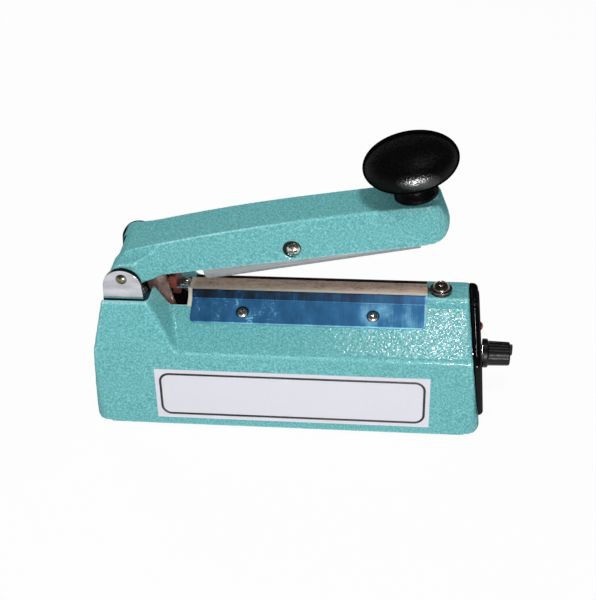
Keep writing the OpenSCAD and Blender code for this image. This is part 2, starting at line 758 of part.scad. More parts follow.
module arm() color("MediumTurquoise") arm_frame() difference() {
    union() {
        intersection() {
            along_y(FAR) arm_side();
            translate([0, 0, -FAR]) linear_extrude(2 * FAR) arm_plan();
            union() {
                along_x(flare_end, FAR * 2) arm_section();
                along_x(-FAR, flare_end) flare_section();
            }
        }
        rod_y(-barrel_out, barrel_out, arm_hinge_r);
        translate([grip_out, 0, 0]) rod_z(crown(grip_out) - roof_t, grip_seat, grip_boss_r);
    }
    arm_hollow();
    rod_y(-FAR, FAR, bush_r);
    slab([-FAR, -barrel_in, -FAR], [flare_end, barrel_in, coil_r + wire_r + gap_move]);
    translate([pivot_out, 0, pivot_z]) {
        rod_y(-FAR, FAR, screw4_r + gap_run);
        rod_y(-FAR, -arm_w / 2 + pivot_seat, pivot_sink_r);
        rod_y(arm_w / 2 - pivot_seat, FAR, pivot_sink_r);
    }
    translate([grip_out, 0, 0]) rod_z(-FAR, FAR, shaft_r + gap_run);
    at_lever_screws() rod_z(-OVER, lever_screw_l - lever_t + gap_room / 2, screw3_r + gap_run);
}

module press_bar() color("LightGray") press_frame() difference() {
    union() {
        slab([press_left, -press_w / 2, press_low], [press_left + press_l, press_w / 2, press_top]);
        for (s = [-1, 1]) translate([0, s * (press_w - lug_t) / 2, 0]) {
            slab([-lug_half, -lug_t / 2, press_top - EPS], [lug_half, lug_t / 2, 0]);
            rod_y(-lug_t / 2, lug_t / 2, lug_r);
        }
    }
    slab([-FAR, -pad_w / 2, -FAR], [FAR, pad_w / 2, press_top - press_wall]);
    rod_y(-FAR, FAR, screw4_r + gap_run);
}

module press_pad() color("DimGray") press_frame() slab([press_left, -pad_w / 2, -pad_low],
    [press_left + press_l, pad_w / 2, press_top - press_wall]);

module press_bar_screw() color("Silver") arm_frame() translate([pivot_out, -arm_w / 2 + pivot_seat, pivot_z])
    rotate([90, 0, 0]) pan_screw(screw4_r, arm_w);

module press_bar_nut() color("Silver") arm_frame() translate([pivot_out, arm_w / 2 - pivot_seat, pivot_z])
    rotate([-90, 0, 0]) difference() {
        cylinder(r = pivot_nut[0], h = pivot_nut[1], $fn = 6);
        rod_z(-OVER, FAR, screw4_r);
    }

// Mushroom grip: the head is a flattened round over a waisted neck
grip_neck = [[grip_foot_r, 0], [grip_foot_r, 1.4], [8.6, 4.6], [8.4, 6.8]];
grip_mid = grip_neck[3][1] + grip_t / 2;
grip_bore = 15;
grip_full = 0.8;
module handle_knob() color("DimGray") arm_frame() translate([grip_out, 0, grip_seat]) difference() {
    rotate_extrude() polygon(concat([[0, 0]], grip_neck,
        [for (a = [-66:6:84]) [grip_d / 2 * pow(cos(a), grip_full), grip_mid + grip_t / 2 * sin(a)]],
        [[0, grip_mid + grip_t / 2]]));
    rod_z(-OVER, grip_bore, shaft_r);
}

stud_nut = [5.6, 3.4];
stud_washer = [6.4, 1];
module knob_stud() color("Silver") arm_frame() translate([grip_out, 0, 0])
    rod_z(grip_post_low - stud_washer[1] - stud_nut[1] - OVER, grip_seat + grip_bore - gap_hole, shaft_r);

module knob_nut() color("Silver") arm_frame() translate([grip_out, 0, grip_post_low]) difference() {
    union() {
        translate([0, 0, -stud_washer[1] - stud_nut[1]]) cylinder(r = stud_nut[0], h = stud_nut[1], $fn = 6);
        rod_z(-stud_washer[1], 0, stud_washer[0]);
    }
    rod_z(-FAR, FAR, shaft_r);
}

// The lever hangs from the arm's ceiling, passes the slot and works the switch
module switch_lever() color("RosyBrown") difference() {
    tip = pin_x + lever_tip;
    low = plunger_z - lever_reach[0];
    high = plunger_z + lever_reach[1];
    left = [[lever_flange[0], lever_pad_z], [lever_flange[0], lever_plate_z[0]],
        [lever_plate[0], lever_plate_z[0]], [lever_plate[0], lever_plate_z[1]],
        [lever_plate[1] - lever_strip, lever_plate_z[1]]];
    right = [[lever_plate[1], lever_plate_z[0]], [lever_flange[1], lever_pad_z]];
    union() {
        arm_frame() slab([lever_flange[0], lever_y, lever_pad_z - lever_t],
            [lever_flange[1], lever_y + lever_flange_w, lever_pad_z]);
        translate([0, switch_y, 0]) along_y(lever_t / 2) polygon(concat([for (p = left) arm_point(p)],
            [[tip, high], [tip, low], [tip + lever_foot, low], [tip + lever_foot, high]],
            [for (p = right) arm_point(p)]));
    }
    arm_frame() at_lever_screws() rod_z(-2 * lever_t, OVER, screw3_r + gap_hole);
}

module lever_screws() color("Silver") arm_frame() at_lever_screws() translate([0, 0, -lever_t])
    mirror([0, 0, 1]) pan_screw(screw3_r, lever_screw_l);

// Seal

module seal_strip() color("Tan") slab([plate_left + strip_in[0], -strip_w / 2, deck_h],
    [plate_right - strip_in[1], strip_w / 2, deck_h + strip_t]);

module heating_element() color("LightSlateGray") difference() {
    union() {
        slab([clamp_x, -ribbon_w / 2, ribbon_z], [right_term_x, ribbon_w / 2, ribbon_top]);
        translate([right_term_x, 0, 0]) rod_z(ribbon_z, ribbon_top, lug_ring_r);
        translate([clamp_x, 0, 0]) rod_z(ribbon_z, ribbon_top, clamp_ring_r);
    }
    translate([right_term_x, 0, 0]) rod_z(0, FAR, screw4_r + gap_hole);
    translate([clamp_x, 0, 0]) rod_z(0, FAR, screw24_r + gap_hole);
}

// The line of the roof, the shoulder and the deck's side, moved out by d, as [y, z] from the low edge up
function over_roof(edge, d, top) =
    let (lean = atan(step_in / deck_step), m = tan(lean), up = d / cos(roof_deg), out = d / cos(lean))
    let (y = shoulder_w / 2 + (out - m * up) / (1 - m * roof_fall))
    [[edge, roof_z(edge) + up], [y, roof_z(y) + up], [shoulder_w / 2 + out - (top - shoulder_h) * m, top]];

module ptfe_cloth() color("Tan") along_x(plate_left - cloth_over[0], plate_right + cloth_over[1]) {
    low = concat(over_roof(cloth_edge, 0, deck_h), [[strip_w / 2, deck_h], [strip_w / 2, ribbon_z],
        [ribbon_w / 2 + cloth_t, ribbon_z], [ribbon_w / 2, ribbon_top]]);
    high = concat(over_roof(cloth_edge, cloth_t, deck_h + cloth_t / 2),
        [[strip_w / 2 + cloth_t, deck_h + cloth_t], [strip_w / 2 + cloth_t, ribbon_z],
        [strip_w / 2, ribbon_z + cloth_t], [ribbon_w / 2 + cloth_t, seal_top]]);
    polygon(flat(concat(low, flip(back(low)), flip(high), back(high))));
}

module clamp_plate(s) {
    inner = over_roof(plate_edge, cloth_t, lip_top);
    outer = over_roof(plate_edge, cloth_t + plate_t, lip_top);
    difference() {
        along_x(plate_left, plate_right) polygon([for (p = concat(inner, back(outer))) [s * p[0], p[1]]]);
        at_clamp_screws([s]) rod_z(-clamp_screw_l, clamp_screw_l, screw3_r + gap_hole);
    }
}

module front_clamp_plate() color("SteelBlue") clamp_plate(-1);
module rear_clamp_plate() color("SteelBlue") clamp_plate(1);
module clamp_plate_screws() color("Silver") at_clamp_screws([-1, 1]) translate([0, 0, cloth_t + plate_t])
    pan_screw(screw3_r, clamp_screw_l, clamp_head[0], clamp_head[1]);

// Terminals at the ends of the heating element

module right_terminal_screw() color("LightGray") translate([right_term_x, 0, ribbon_top + washer[1]])
    pan_screw(screw4_r, term_screw_l, term_head[0], term_head[1]);

module terminal_washer() color("Silver") translate([right_term_x, 0, ribbon_top]) difference() {
    rod_z(0, washer[1], washer[0]);
    rod_z(-OVER, FAR, screw4_r + gap_hole);
}

module terminal_bush() color("SaddleBrown") translate([right_term_x, 0, deck_h]) difference() {
    union() {
        rod_z(0, strip_t, term_bush_r);
        rod_z(-term_neck_l, EPS, term_neck_r);
    }
    rod_z(-FAR, FAR, screw4_r + gap_hole);
}

// The block stands on the pocket's floor behind the leaf, and its head reaches forward over the leaf
module insulator_block() color("Sienna") difference() {
    round_z = block_top - block_t / 2;
    left = block_x - block_t / 2;
    right = block_x + block_t / 2;
    union() {
        slab([left, block_y[1], pocket_h], [right, block_y[2], round_z]);
        slab([left, block_y[0], ribbon_z], [right, block_y[2], round_z]);
        translate([block_x, 0, round_z]) rod_y(block_y[0], block_y[2], block_t / 2);
    }
    translate([block_x, block_screw_y, 0]) rod_z(0, pocket_h + block_screw_in + gap_room / 2, screw26_r);
    translate([block_x, leaf_screw_y, 0]) rod_z(0, ribbon_z + leaf_screw_in + gap_room / 2, screw24_r);
}

module insulator_screw() color("Silver") translate([block_x, block_screw_y, shelf_low]) mirror([0, 0, 1])
    pan_screw(screw26_r, pocket_h + block_screw_in - shelf_low);

module tension_leaf() color("Gainsboro") difference() {
    union() {
        slab([block_x - block_t / 2, -leaf_half, ribbon_z - leaf_t], [leaf_x, block_y[1] - gap_move, ribbon_z]);
        slab([leaf_x - EPS, -leaf_half, ribbon_z - leaf_t], [leaf_tip, leaf_half, ribbon_z]);
    }
    translate([clamp_x, 0, 0]) rod_z(0, FAR, screw24_r + gap_hole);
    translate([block_x, leaf_screw_y, 0]) rod_z(0, FAR, screw24_r + gap_run);
}

module leaf_screw() color("Silver") translate([block_x, leaf_screw_y, ribbon_z - leaf_t]) mirror([0, 0, 1])
    pan_screw(screw24_r, leaf_t + leaf_screw_in);

module element_clamp() color("Gainsboro") translate([clamp_x, 0, ribbon_top]) difference() {
    slab([-clamp_half[0], -clamp_half[1], 0], [clamp_half[0], clamp_half[1], leaf_t]);
    rod_z(-OVER, FAR, screw24_r + gap_hole);
}

module clamp_screw() color("Silver") translate([clamp_x, 0, ribbon_top + leaf_t])
    pan_screw(screw24_r, element_screw_l);

// Transformer

module transformer_core() color("DimGray") translate([core_x, 0, core_mid]) difference() {
    cube(core, center = true);
    for (s = [-1, 1]) translate([s * (leg + window[0] / 2), 0, 0])
        cube([window[0], core[1] + OVER, window[1]], center = true);
}

module transformer_coil() color("DarkGoldenrod") translate([core_x, 0, core_mid]) difference() {
    cube([2 * (leg + window[0] - coil_room), 2 * coil_side, window[1] - coil_room], center = true);
    cube([2 * leg, core[1], FAR], center = true);
}

module at_strap_screws() {
    out = core[0] / 2 + strap_t + strap_foot / 2;
    for (s = [-1, 1]) translate([core_x + s * out, 0, 0]) children();
}

module transformer_strap() color("Silver") difference() {
    half = core[0] / 2;
    side = strap_w / 2;
    top = base_top + core[2];
    union() {
        slab([core_x - half - strap_t, -side, top], [core_x + half + strap_t, side, top + strap_t]);
        for (s = [0, 1]) translate([core_x, 0, 0]) mirror([s, 0, 0]) {
            slab([half, -side, base_top], [half + strap_t, side, top + EPS]);
            slab([half, -side, base_top], [half + strap_t + strap_foot, side, base_top + strap_t]);
        }
    }
    at_strap_screws() rod_z(0, base_screw_l + base_low + gap_room, screw3_r);
}

module base_screw(length) {
    translate([0, 0, base_low]) mirror([0, 0, 1]) pan_screw(screw3_r, length, head_h = low_head);
}

module transformer_screws() color("Silver") at_strap_screws() base_screw(base_screw_l);

// Switch

module at_switch_bolts() {
    for (s = [-1, 1]) translate([switch_face - switch[0] + switch_hole[0], 0, plunger_z + s * switch_hole[1]])
        children();
}

module at_switch_screws() {
    y = switch_y + switch[1] / 2 + switch_foot_y;
    for (x = switch_foot_x) translate([switch_face - x, y, 0]) children();
}

module micro_switch() color("Black") difference() {
    slab([switch_face - switch[0], switch_y - switch[1] / 2, switch_low],
        [switch_face, switch_y + switch[1] / 2, switch_low + switch[2]]);
    translate([0, switch_y, plunger_z]) rod_x(switch_face - plunger_bore, FAR, plunger_r + gap_run);
    at_switch_bolts() rod_y(-FAR, FAR, screw3_r + gap_hole);
}

module switch_plunger() color("Red") translate([0, switch_y, plunger_z])
    rod_x(switch_face - plunger_in, plunger_shut - gap_move + plunger_travel, plunger_r);

module switch_bracket() color("Silver") difference() {
    near = switch_y + switch[1] / 2;
    left = switch_face - switch[0];
    union() {
        slab([left, near, base_top], [switch_face, near + switch_sheet, switch_low + switch[2]]);
        slab([left, near, base_top], [switch_face, near + switch_foot, base_top + switch_sheet]);
    }
    at_switch_bolts() rod_y(-FAR, FAR, screw3_r);
    at_switch_screws() rod_z(0, base_screw_l + base_low + gap_room, screw3_r);
}

module switch_screws() color("Silver") {
    at_switch_screws() base_screw(base_screw_l);
    at_switch_bolts() translate([0, switch_y - switch[1] / 2, 0]) rotate([90, 0, 0])
        pan_screw(screw3_r, switch[1] + 2 * switch_sheet);
}

// Timer board

module at_pillars() translate([board_x, 0, 0]) at_corners(pillar_pos) children();

module timer_board() color("ForestGreen") difference() {
    translate([board_x - board[0] / 2, -board[1] / 2, board_z]) cube(board);
    at_pillars() rod_z(0, FAR, screw3_r + gap_hole);
}

module relay() color("RoyalBlue") translate([board_x + relay_pos[0], relay_pos[1], board_top])
    translate([-relay_size[0] / 2, -relay_size[1] / 2, 0]) cube(relay_size);

module capacitors() color("DarkSlateBlue") for (i = [0:len(cap_pos) - 1])
    translate([board_x + cap_pos[i][0], cap_pos[i][1], board_top]) rod_z(0, cap_h[i], cap_r[i]);

module board_pillars() color("Khaki") at_pillars() difference() {
    translate([0, 0, base_top]) cylinder(r = pillar_r, h = board_z - base_top, $fn = 6);
    rod_z(0, FAR, screw3_r);
}

module board_screws() color("Silver") at_pillars() {
    base_screw(board_screw_l[0]);
    translate([0, 0, board_top]) pan_screw(screw3_r, board_screw_l[1]);
}

echo(close_deg = close_deg, level_deg = level_deg, level_ratio = level_deg / close_deg);
echo(pin = [pin_x - middle_x, pin_h + foot_h]);
echo(pivot = arm_point([pivot_out, pivot_z]) + [-middle_x, foot_h]);
echo(timer = timer_h + foot_h, foot = [foot_pos[0] - middle_x, foot_pos[1]]);
echo(plunger_mm_per_degree = -plunger_travel / close_deg, seal_top = seal_top + foot_h, middle_x = middle_x);
echo(spring_gap = least_gap(spring_path()), spring_foot = shelf_h + bracket_t + foot_h);

placed() housing();
placed() base_plate();
placed() rubber_feet();
placed() foot_screws();
placed() control_panel();
placed() panel_screws();
placed() timer_knob();
placed() timer_shaft();
placed() potentiometer();
placed() potentiometer_nut();
placed() indicator_lamp();
placed() label_plate();
placed() cord_grommet();
placed() hinge_bracket();
placed() bracket_screws();
placed() hinge_pin();
placed() hinge_bushes();
placed() return_spring();
placed() arm();
placed() press_bar();
placed() press_pad();
placed() press_bar_screw();
placed() press_bar_nut();
placed() handle_knob();
placed() knob_stud();
placed() knob_nut();
placed() switch_lever();
placed() lever_screws();
placed() seal_strip();
placed() heating_element();
placed() ptfe_cloth();
placed() front_clamp_plate();
placed() rear_clamp_plate();
placed() clamp_plate_screws();
placed() right_terminal_screw();
placed() terminal_washer();
placed() terminal_bush();
placed() insulator_block();
placed() insulator_screw();
placed() tension_leaf();
placed() leaf_screw();
placed() element_clamp();
placed() clamp_screw();
placed() transformer_core();
placed() transformer_coil();
placed() transformer_strap();
placed() transformer_screws();
placed() micro_switch();
placed() switch_plunger();
placed() switch_bracket();
placed() switch_screws();
placed() timer_board();
placed() relay();
placed() capacitors();
placed() board_pillars();
placed() board_screws();
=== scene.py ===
"""Looks of the hand bag sealer: finishes, smooth surfaces, cloth and a plain studio round the frame."""

import functools
import json
import math

import bmesh
import bpy
import numpy as np
from bpy.props import FloatProperty, FloatVectorProperty, PointerProperty
from mathutils import Matrix, Vector


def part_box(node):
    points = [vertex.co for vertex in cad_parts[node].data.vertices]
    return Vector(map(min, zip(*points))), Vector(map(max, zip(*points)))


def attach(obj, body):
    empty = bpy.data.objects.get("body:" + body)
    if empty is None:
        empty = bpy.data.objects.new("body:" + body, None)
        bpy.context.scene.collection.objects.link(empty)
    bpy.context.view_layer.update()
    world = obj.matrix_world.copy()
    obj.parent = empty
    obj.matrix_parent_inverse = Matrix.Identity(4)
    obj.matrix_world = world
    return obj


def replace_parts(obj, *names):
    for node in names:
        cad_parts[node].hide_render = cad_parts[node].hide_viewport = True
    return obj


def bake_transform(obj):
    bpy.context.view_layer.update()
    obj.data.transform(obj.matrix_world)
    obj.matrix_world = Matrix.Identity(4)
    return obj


bl_info = {
    "name": "Hand bag sealer looks",
    "version": (1, 0, 0),
    "blender": (4, 5, 0),
    "location": "View3D > Sidebar > Sealer",
    "description": "Finishes a packed impulse sealer: enamel, plated steel, film, cloth and a studio stage",
    "category": "Object",
}

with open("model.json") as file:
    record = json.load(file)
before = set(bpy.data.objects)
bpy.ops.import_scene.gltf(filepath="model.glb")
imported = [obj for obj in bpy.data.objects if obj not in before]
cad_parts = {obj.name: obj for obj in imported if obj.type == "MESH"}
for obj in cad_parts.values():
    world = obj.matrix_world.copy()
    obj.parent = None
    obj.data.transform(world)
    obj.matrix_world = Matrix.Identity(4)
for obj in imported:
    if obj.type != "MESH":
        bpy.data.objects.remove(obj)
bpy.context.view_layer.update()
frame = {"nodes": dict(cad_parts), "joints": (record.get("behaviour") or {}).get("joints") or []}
NODES = frame["nodes"]
JOINTS = {joint["name"]: joint for joint in frame["joints"]}

# Shared measures, in metres and radians, taken from the frame where it holds them
MM = 0.001
PIN = np.array(JOINTS["arm_hinge"]["pos_m"])
PIVOT = np.array(JOINTS["press_bar_rock"]["pos_m"])
TIMER = np.array(JOINTS["timer_turn"]["pos_m"])
ARM_REST = math.radians(9.3)
BAR_TURN = ARM_REST + math.radians(2.25)
FOOT = 2 * MM
MIDDLE_X = 7.868 * MM
MERGE = 1e-6

# Section of the casting's roof, in metres above its own foot
DECK_H, DECK_HALF = 58.4 * MM, 5.8 * MM
SHOULDER_H, SHOULDER_HALF = 55.2 * MM, 6.8 * MM
RIDGE_H, RIDGE_HALF = 42 * MM, 34.5 * MM
FOOT_HALF = 36 * MM
ROOF_FALL = (SHOULDER_H - RIDGE_H) / (RIDGE_HALF - SHOULDER_HALF)
WALL_LEAN = math.atan((FOOT_HALF - RIDGE_HALF) / RIDGE_H)

# Clamp plates: their ends, the ways up their face to the screws and the bend, and how far out the screws sit
PLATE = (-46.1 * MM, 66.6 * MM)
PLATE_SCREW = 6.2 * MM
PLATE_BEND = 13.3 * MM
SCREW_OUT = 31.25 * MM

# Places that finishes need: the grip where fingers rub it, the arm's recess as it lies from the press bar's
# pivot, with its radius, and the pocket at the hinge's end of the seal, both of which get painted shade
GRIP_RUBBED = (53 * MM, -21.5 * MM, 131.3 * MM)
RECESS_OFF = np.array([-0.6, 0, 0.5]) * MM
RECESS_R = 4.2 * MM
POCKET = ((-72.6 * MM, -9.55 * MM, 40 * MM), (-54.7 * MM, 11.2 * MM, 60.3 * MM))

# Grey values between which most of a noise lies
NOISE = (0.3, 0.7)

# Lamps: name, place and width in metres, power in watts, and whether they give nothing but glints
LAMPS = (
    ("key_lamp", (-0.06, -0.66, 0.5), 0.2, 1.0, False),
    ("top_lamp", (0.1, -0.3, 0.85), 0.14, 2.6, False),
    ("rear_lamp", (-0.4, 0.6, 0.45), 0.3, 0.9, False),
    ("low_lamp", (0.13, -0.74, 0.1), 0.09, 1.2, False),
    ("near_lamp", (0.13, -0.43, 0.09), 0.06, 2.3, True),
    ("glint_lamp", (0.1, 0.02, 0.88), 0.05, 1.5, True),
)
LAMP_AIM = (0, 0, 0.06)


def linear(code):
    """Linear red, green, blue and alpha of an sRGB hex colour."""
    parts = np.array([int(code[i:i + 2], 16) for i in (1, 3, 5)]) / 255
    value = np.where(parts <= 0.04045, parts / 12.92, ((parts + 0.055) / 1.055) ** 2.4)
    return (*value.tolist(), 1.0)


def colour_property(label, text, code):
    """A colour that a user may change, from an sRGB hex value."""
    return FloatVectorProperty(name=label, description=text, subtype="COLOR", size=4, min=0, max=1,
                               default=linear(code))


def length_property(label, text, millimetres):
    """A length that a user may change, in metres."""
    return FloatProperty(name=label, description=text, unit="LENGTH", min=0, default=millimetres * MM)


class SealerColours(bpy.types.PropertyGroup):
    """Colours of the sealer's finishes."""

    enamel_light: colour_property("Enamel, light", "Lighter flecks of the textured enamel", "#82CCCF")
    enamel_dark: colour_property("Enamel, dark", "Darker flecks of the textured enamel", "#58A3A6")
    film_blue: colour_property("Film", "Protective film on the clamp plates", "#346F9F")
    # film_deep also serves the painted dark reflection on the lip and the painted shade at the hinge end
    film_deep: colour_property("Film, deep", "Darker streaks of the protective film", "#0B3352")
    # film_pale also serves the painted highlights on the fold, the low edge and the end by the panel
    film_pale: colour_property("Film, lifted", "Protective film where its edge has lifted", "#96DBF2")
    cloth_tan: colour_property("Cloth", "Release cloth where the element has browned it", "#CBAE98")
    cloth_scorched: colour_property("Cloth, scorched", "Darkest marks of use on the release cloth", "#846C59")
    cloth_pale: colour_property("Cloth edge", "Release cloth at its clean edges", "#E2D8C8")
    lamp_red: colour_property("Lamp", "Indicator lamp's tinted dome", "#8A0A0C")


class SealerSizes(bpy.types.PropertyGroup):
    """Sizes that shape the finish."""

    casting_voxel: length_property("Casting detail", "Size of the casting's smallest facet", 1.0)
    arm_voxel: length_property("Arm detail", "Size of the arm's smallest facet", 0.55)
    fleck: length_property("Fleck", "Width of one fleck of the textured enamel", 0.8)
    fleck_depth: length_property("Fleck depth", "Height of one fleck of the textured enamel", 0.18)
    sheet_edge: length_property("Sheet edge", "Rounding on the edges of sheet metal", 0.2)
    screw_edge: length_property("Screw edge", "Rounding on the edges of screws and small parts", 0.12)
    foil_edge: length_property("Foil edge", "Rounding on the edges of the label and the element", 0.05)
    thread: length_property("Thread", "Spacing of the cloth's threads, drawn coarse enough to show", 0.7)


# Surfaces

def surface(name, points, around=False, marks=None):
    """A grid of points as one mesh of quads. The first index closes on itself where around is set, points
    that meet at poles and seams become one, and marks gives each point its place on the UV map."""
    rows, cols = points.shape[:2]
    index = np.arange(rows * cols).reshape(rows, cols)
    here, ahead = (index, np.roll(index, -1, axis=0)) if around else (index[:-1], index[1:])
    quads = np.stack([here[:, :-1], ahead[:, :-1], ahead[:, 1:], here[:, 1:]], axis=-1).reshape(-1, 4)
    mesh = bpy.data.meshes.new(name)
    mesh.from_pydata(points.reshape(-1, 3).tolist(), [], quads.tolist())
    if marks is not None:
        layer = mesh.uv_layers.new(name="UVMap")
        layer.data.foreach_set("uv", marks.reshape(-1, 2)[quads.ravel()].astype(np.float32).ravel())
    work = bmesh.new()
    work.from_mesh(mesh)
    bmesh.ops.remove_doubles(work, verts=work.verts, dist=MERGE)
    bmesh.ops.recalc_face_normals(work, faces=work.faces)
    work.to_mesh(mesh)
    work.free()
    mesh.shade_smooth()
    piece = bpy.data.objects.new(name, mesh)
    bpy.context.scene.collection.objects.link(piece)
    return piece


def fillet(corners, steps=6):
    """An open line through corners given as (x, y, radius): each corner with a radius becomes an arc."""
    spots = np.array(corners, float)
    parts = []
    for i, (x, y, radius) in enumerate(spots):
        corner = np.array([x, y])
        if radius == 0:
            parts.append(corner[None])
            continue
        before, after = (spots[k, :2] - corner for k in (i - 1, i + 1))
        before, after = before / np.linalg.norm(before), after / np.linalg.norm(after)
        half = math.acos(float(np.clip(before @ after, -1, 1))) / 2
        middle = (before + after) / np.linalg.norm(before + after)
        centre = corner + middle * radius / math.sin(half)
        start, end = (corner + way * radius / math.tan(half) - centre for way in (before, after))
        turn = math.atan2(start[0] * end[1] - start[1] * end[0], start @ end)
        angle = math.atan2(start[1], start[0]) + turn * np.linspace(0, 1, steps + 1)
        parts.append(centre + radius * np.stack([np.cos(angle), np.sin(angle)], axis=-1))
    return np.concatenate(parts)


def way_along(line):
    """How far along a line each of its points lies."""
    return np.concatenate([[0], np.cumsum(np.linalg.norm(np.diff(line, axis=0), axis=1))])


def evenly(line, count):
    """The same line with count points, spaced evenly along its length."""
    way = way_along(line)
    wanted = np.linspace(0, way[-1], count)
    return np.stack([np.interp(wanted, way, line[:, k]) for k in range(line.shape[1])], axis=-1)


def lathe(profile, sides=96):
    """A profile of (radius, height) turned about the z axis: (r cos a, r sin a, h) for every angle a."""
    turn = np.linspace(0, 2 * math.pi, sides, endpoint=False)[:, None]
    radius, height = profile[:, 0], profile[:, 1]
    ring = [radius * np.cos(turn), radius * np.sin(turn), height]
    return np.stack(np.broadcast_arrays(*ring), axis=-1)


def pebble(centre, half, square, count=24):
    """A closed superellipsoid: each sine and cosine of a ball goes to the power square, which boxes it."""
    across = np.linspace(0, 2 * math.pi, 2 * count, endpoint=False)[:, None]
    up = np.linspace(-math.pi / 2, math.pi / 2, count)[None, :]
    waves = (np.cos(across), np.sin(across), np.cos(up), np.sin(up))
    x, y, ring, z = (np.sign(wave) * np.abs(wave) ** square for wave in waves)
    return np.array(centre) + np.stack(np.broadcast_arrays(x * ring, y * ring, z), axis=-1) * np.array(half)


def tube(path, radius, sides=12):
    """A round wire along a path: a ring of points about each place, square to the way the path runs, with
    both ends drawn in to a point. The rings are set out from a guide that no stretch of the path follows."""
    guide = [0.11, 0.97, 0.2]
    ahead = np.gradient(path, axis=0)
    ahead /= np.linalg.norm(ahead, axis=1, keepdims=True)
    side = np.cross(ahead, guide)
    side /= np.linalg.norm(side, axis=1, keepdims=True)
    turn = np.linspace(0, 2 * math.pi, sides, endpoint=False)[:, None, None]
    rings = path + radius * (np.cos(turn) * side + np.sin(turn) * np.cross(ahead, side))
    ends = [np.broadcast_to(path[k], (sides, 1, 3)) for k in (0, -1)]
    return np.concatenate([ends[0], rings, ends[1]], axis=1)


def moved(points, matrix):
    """The points carried by a 4 by 4 matrix."""
    turn = np.array(matrix)
    return points @ turn[:3, :3].T + turn[:3, 3]


def arm_matrix():
    """Carries the arm's own frame, from the hinge pin along the arm, to its place at rest."""
    return Matrix.Translation(PIN) @ Matrix.Rotation(-ARM_REST, 4, "Y")


def casting_matrix():
    """Carries the casting's own frame, with its foot at zero, to its place."""
    return Matrix.Translation((-MIDDLE_X, 0, FOOT))


def weld(piece):
    """Joins the points of a CAD node's mesh where they meet."""
    piece.modifiers.new("joined", "WELD").merge_threshold = MERGE


def even_shading(piece):
    """Lets large faces set the shading, so that flats stay flat next to rounded edges."""
    piece.modifiers.new("shading", "WEIGHTED_NORMAL").keep_sharp = False


def soften(piece, width):
    """Rounds a piece's sharp edges and evens its shading with modifiers, and leaves its mesh alone."""
    bevel = piece.modifiers.new("edges", "BEVEL")
    bevel.width = width
    bevel.segments = 2
    bevel.limit_method = "ANGLE"
    bevel.angle_limit = math.radians(30)
    even_shading(piece)


def thicken(piece, thick):
    """Gives a surface its thickness, half of it to each side."""
    wall = piece.modifiers.new("thickness", "SOLIDIFY")
    wall.thickness = thick
    wall.offset = 0


def skin(piece, voxel, passes):
    """One soft skin over a casting, as thick paint gives: the shape is meshed anew in even facets of voxel
    size, and passes of smoothing round its edges."""
    weld(piece)
    even = piece.modifiers.new("skin", "REMESH")
    even.mode = "VOXEL"
    even.voxel_size = voxel
    even.use_smooth_shade = True
    smooth = piece.modifiers.new("soft", "SMOOTH")
    smooth.factor = 0.5
    smooth.iterations = passes


# Materials

def add(tree, kind, inputs=None, **settings):
    """One node with its settings; each input takes a value, or a link where it is given a socket."""
    node = tree.nodes.new("ShaderNode" + kind)
    for name, value in settings.items():
        setattr(node, name, value)
    for socket, value in (inputs or {}).items():
        if isinstance(value, bpy.types.NodeSocket):
            tree.links.new(value, node.inputs[socket])
        else:
            node.inputs[socket].default_value = value
    return node


def begin(name, **sockets):
    """A new material: its name, its node tree and its shader, with the shader's own sockets set."""
    material = bpy.data.materials.new(name)
    material.use_nodes = True
    shader = material.node_tree.nodes["Principled BSDF"]
    for socket, value in sockets.items():
        shader.inputs[socket.replace("_", " ")].default_value = value
    return material, material.node_tree, shader


def lumps(tree, size, detail=2.0, drawn=(1, 1, 1), source="Object", turn=0.0):
    """Grey noise with lumps size metres wide, drawn times longer along each axis, and turned about y."""
    place = add(tree, "TexCoord")
    scaled = add(tree, "Mapping", {"Vector": place.outputs[source], "Scale": drawn, "Rotation": (0, turn, 0)},
                 vector_type="TEXTURE")
    noise = add(tree, "TexNoise", {"Vector": scaled.outputs["Vector"], "Scale": 1 / size, "Detail": detail})
    return noise.outputs["Fac"]


def sums(tree, *parts):
    """The sum of grey values, each given as (value, share)."""
    total = 0.0
    for value, share in parts:
        total = add(tree, "Math", {0: value, 1: share, 2: total}, operation="MULTIPLY_ADD").outputs[0]
    return total


def span(tree, value, start, end, low=0.0, high=1.0):
    """A grey value that runs from low to high while another runs from start to end, and stops at both."""
    return add(tree, "MapRange", {"Value": value, "From Min": start, "From Max": end, "To Min": low,
                                  "To Max": high}).outputs["Result"]


def in_box(tree, low, high, soft):
    """White inside a box of the row frame and black outside it, with an edge soft metres wide."""
    place = add(tree, "TexCoord")
    middle, half = (np.array(low) + high) / 2, (np.array(high) - low) / 2
    off = add(tree, "VectorMath", {0: place.outputs["Object"], 1: middle.tolist()}, operation="SUBTRACT")
    off = add(tree, "VectorMath", {0: off.outputs[0]}, operation="ABSOLUTE")
    off = add(tree, "VectorMath", {0: off.outputs[0], 1: half.tolist()}, operation="SUBTRACT")
    split = add(tree, "SeparateXYZ", {"Vector": off.outputs[0]})
    far = add(tree, "Math", {0: split.outputs["X"], 1: split.outputs["Y"]}, operation="MAXIMUM")
    far = add(tree, "Math", {0: far.outputs[0], 1: split.outputs["Z"]}, operation="MAXIMUM")
    return span(tree, far.outputs[0], -soft, 0, 1.0, 0.0)


def tones(tree, shader, value, stops):
    """Colours the surface by a grey value, through stops of (value, colour or sRGB hex value)."""
    ramp = add(tree, "ValToRGB", {"Fac": value})
    marks = ramp.color_ramp.elements
    while len(marks) < len(stops):
        marks.new(0.5)
    for mark, (place, colour) in zip(marks, stops):
        mark.position = place
        mark.color = linear(colour) if isinstance(colour, str) else colour
    tree.links.new(ramp.outputs["Color"], shader.inputs["Base Color"])
    return ramp


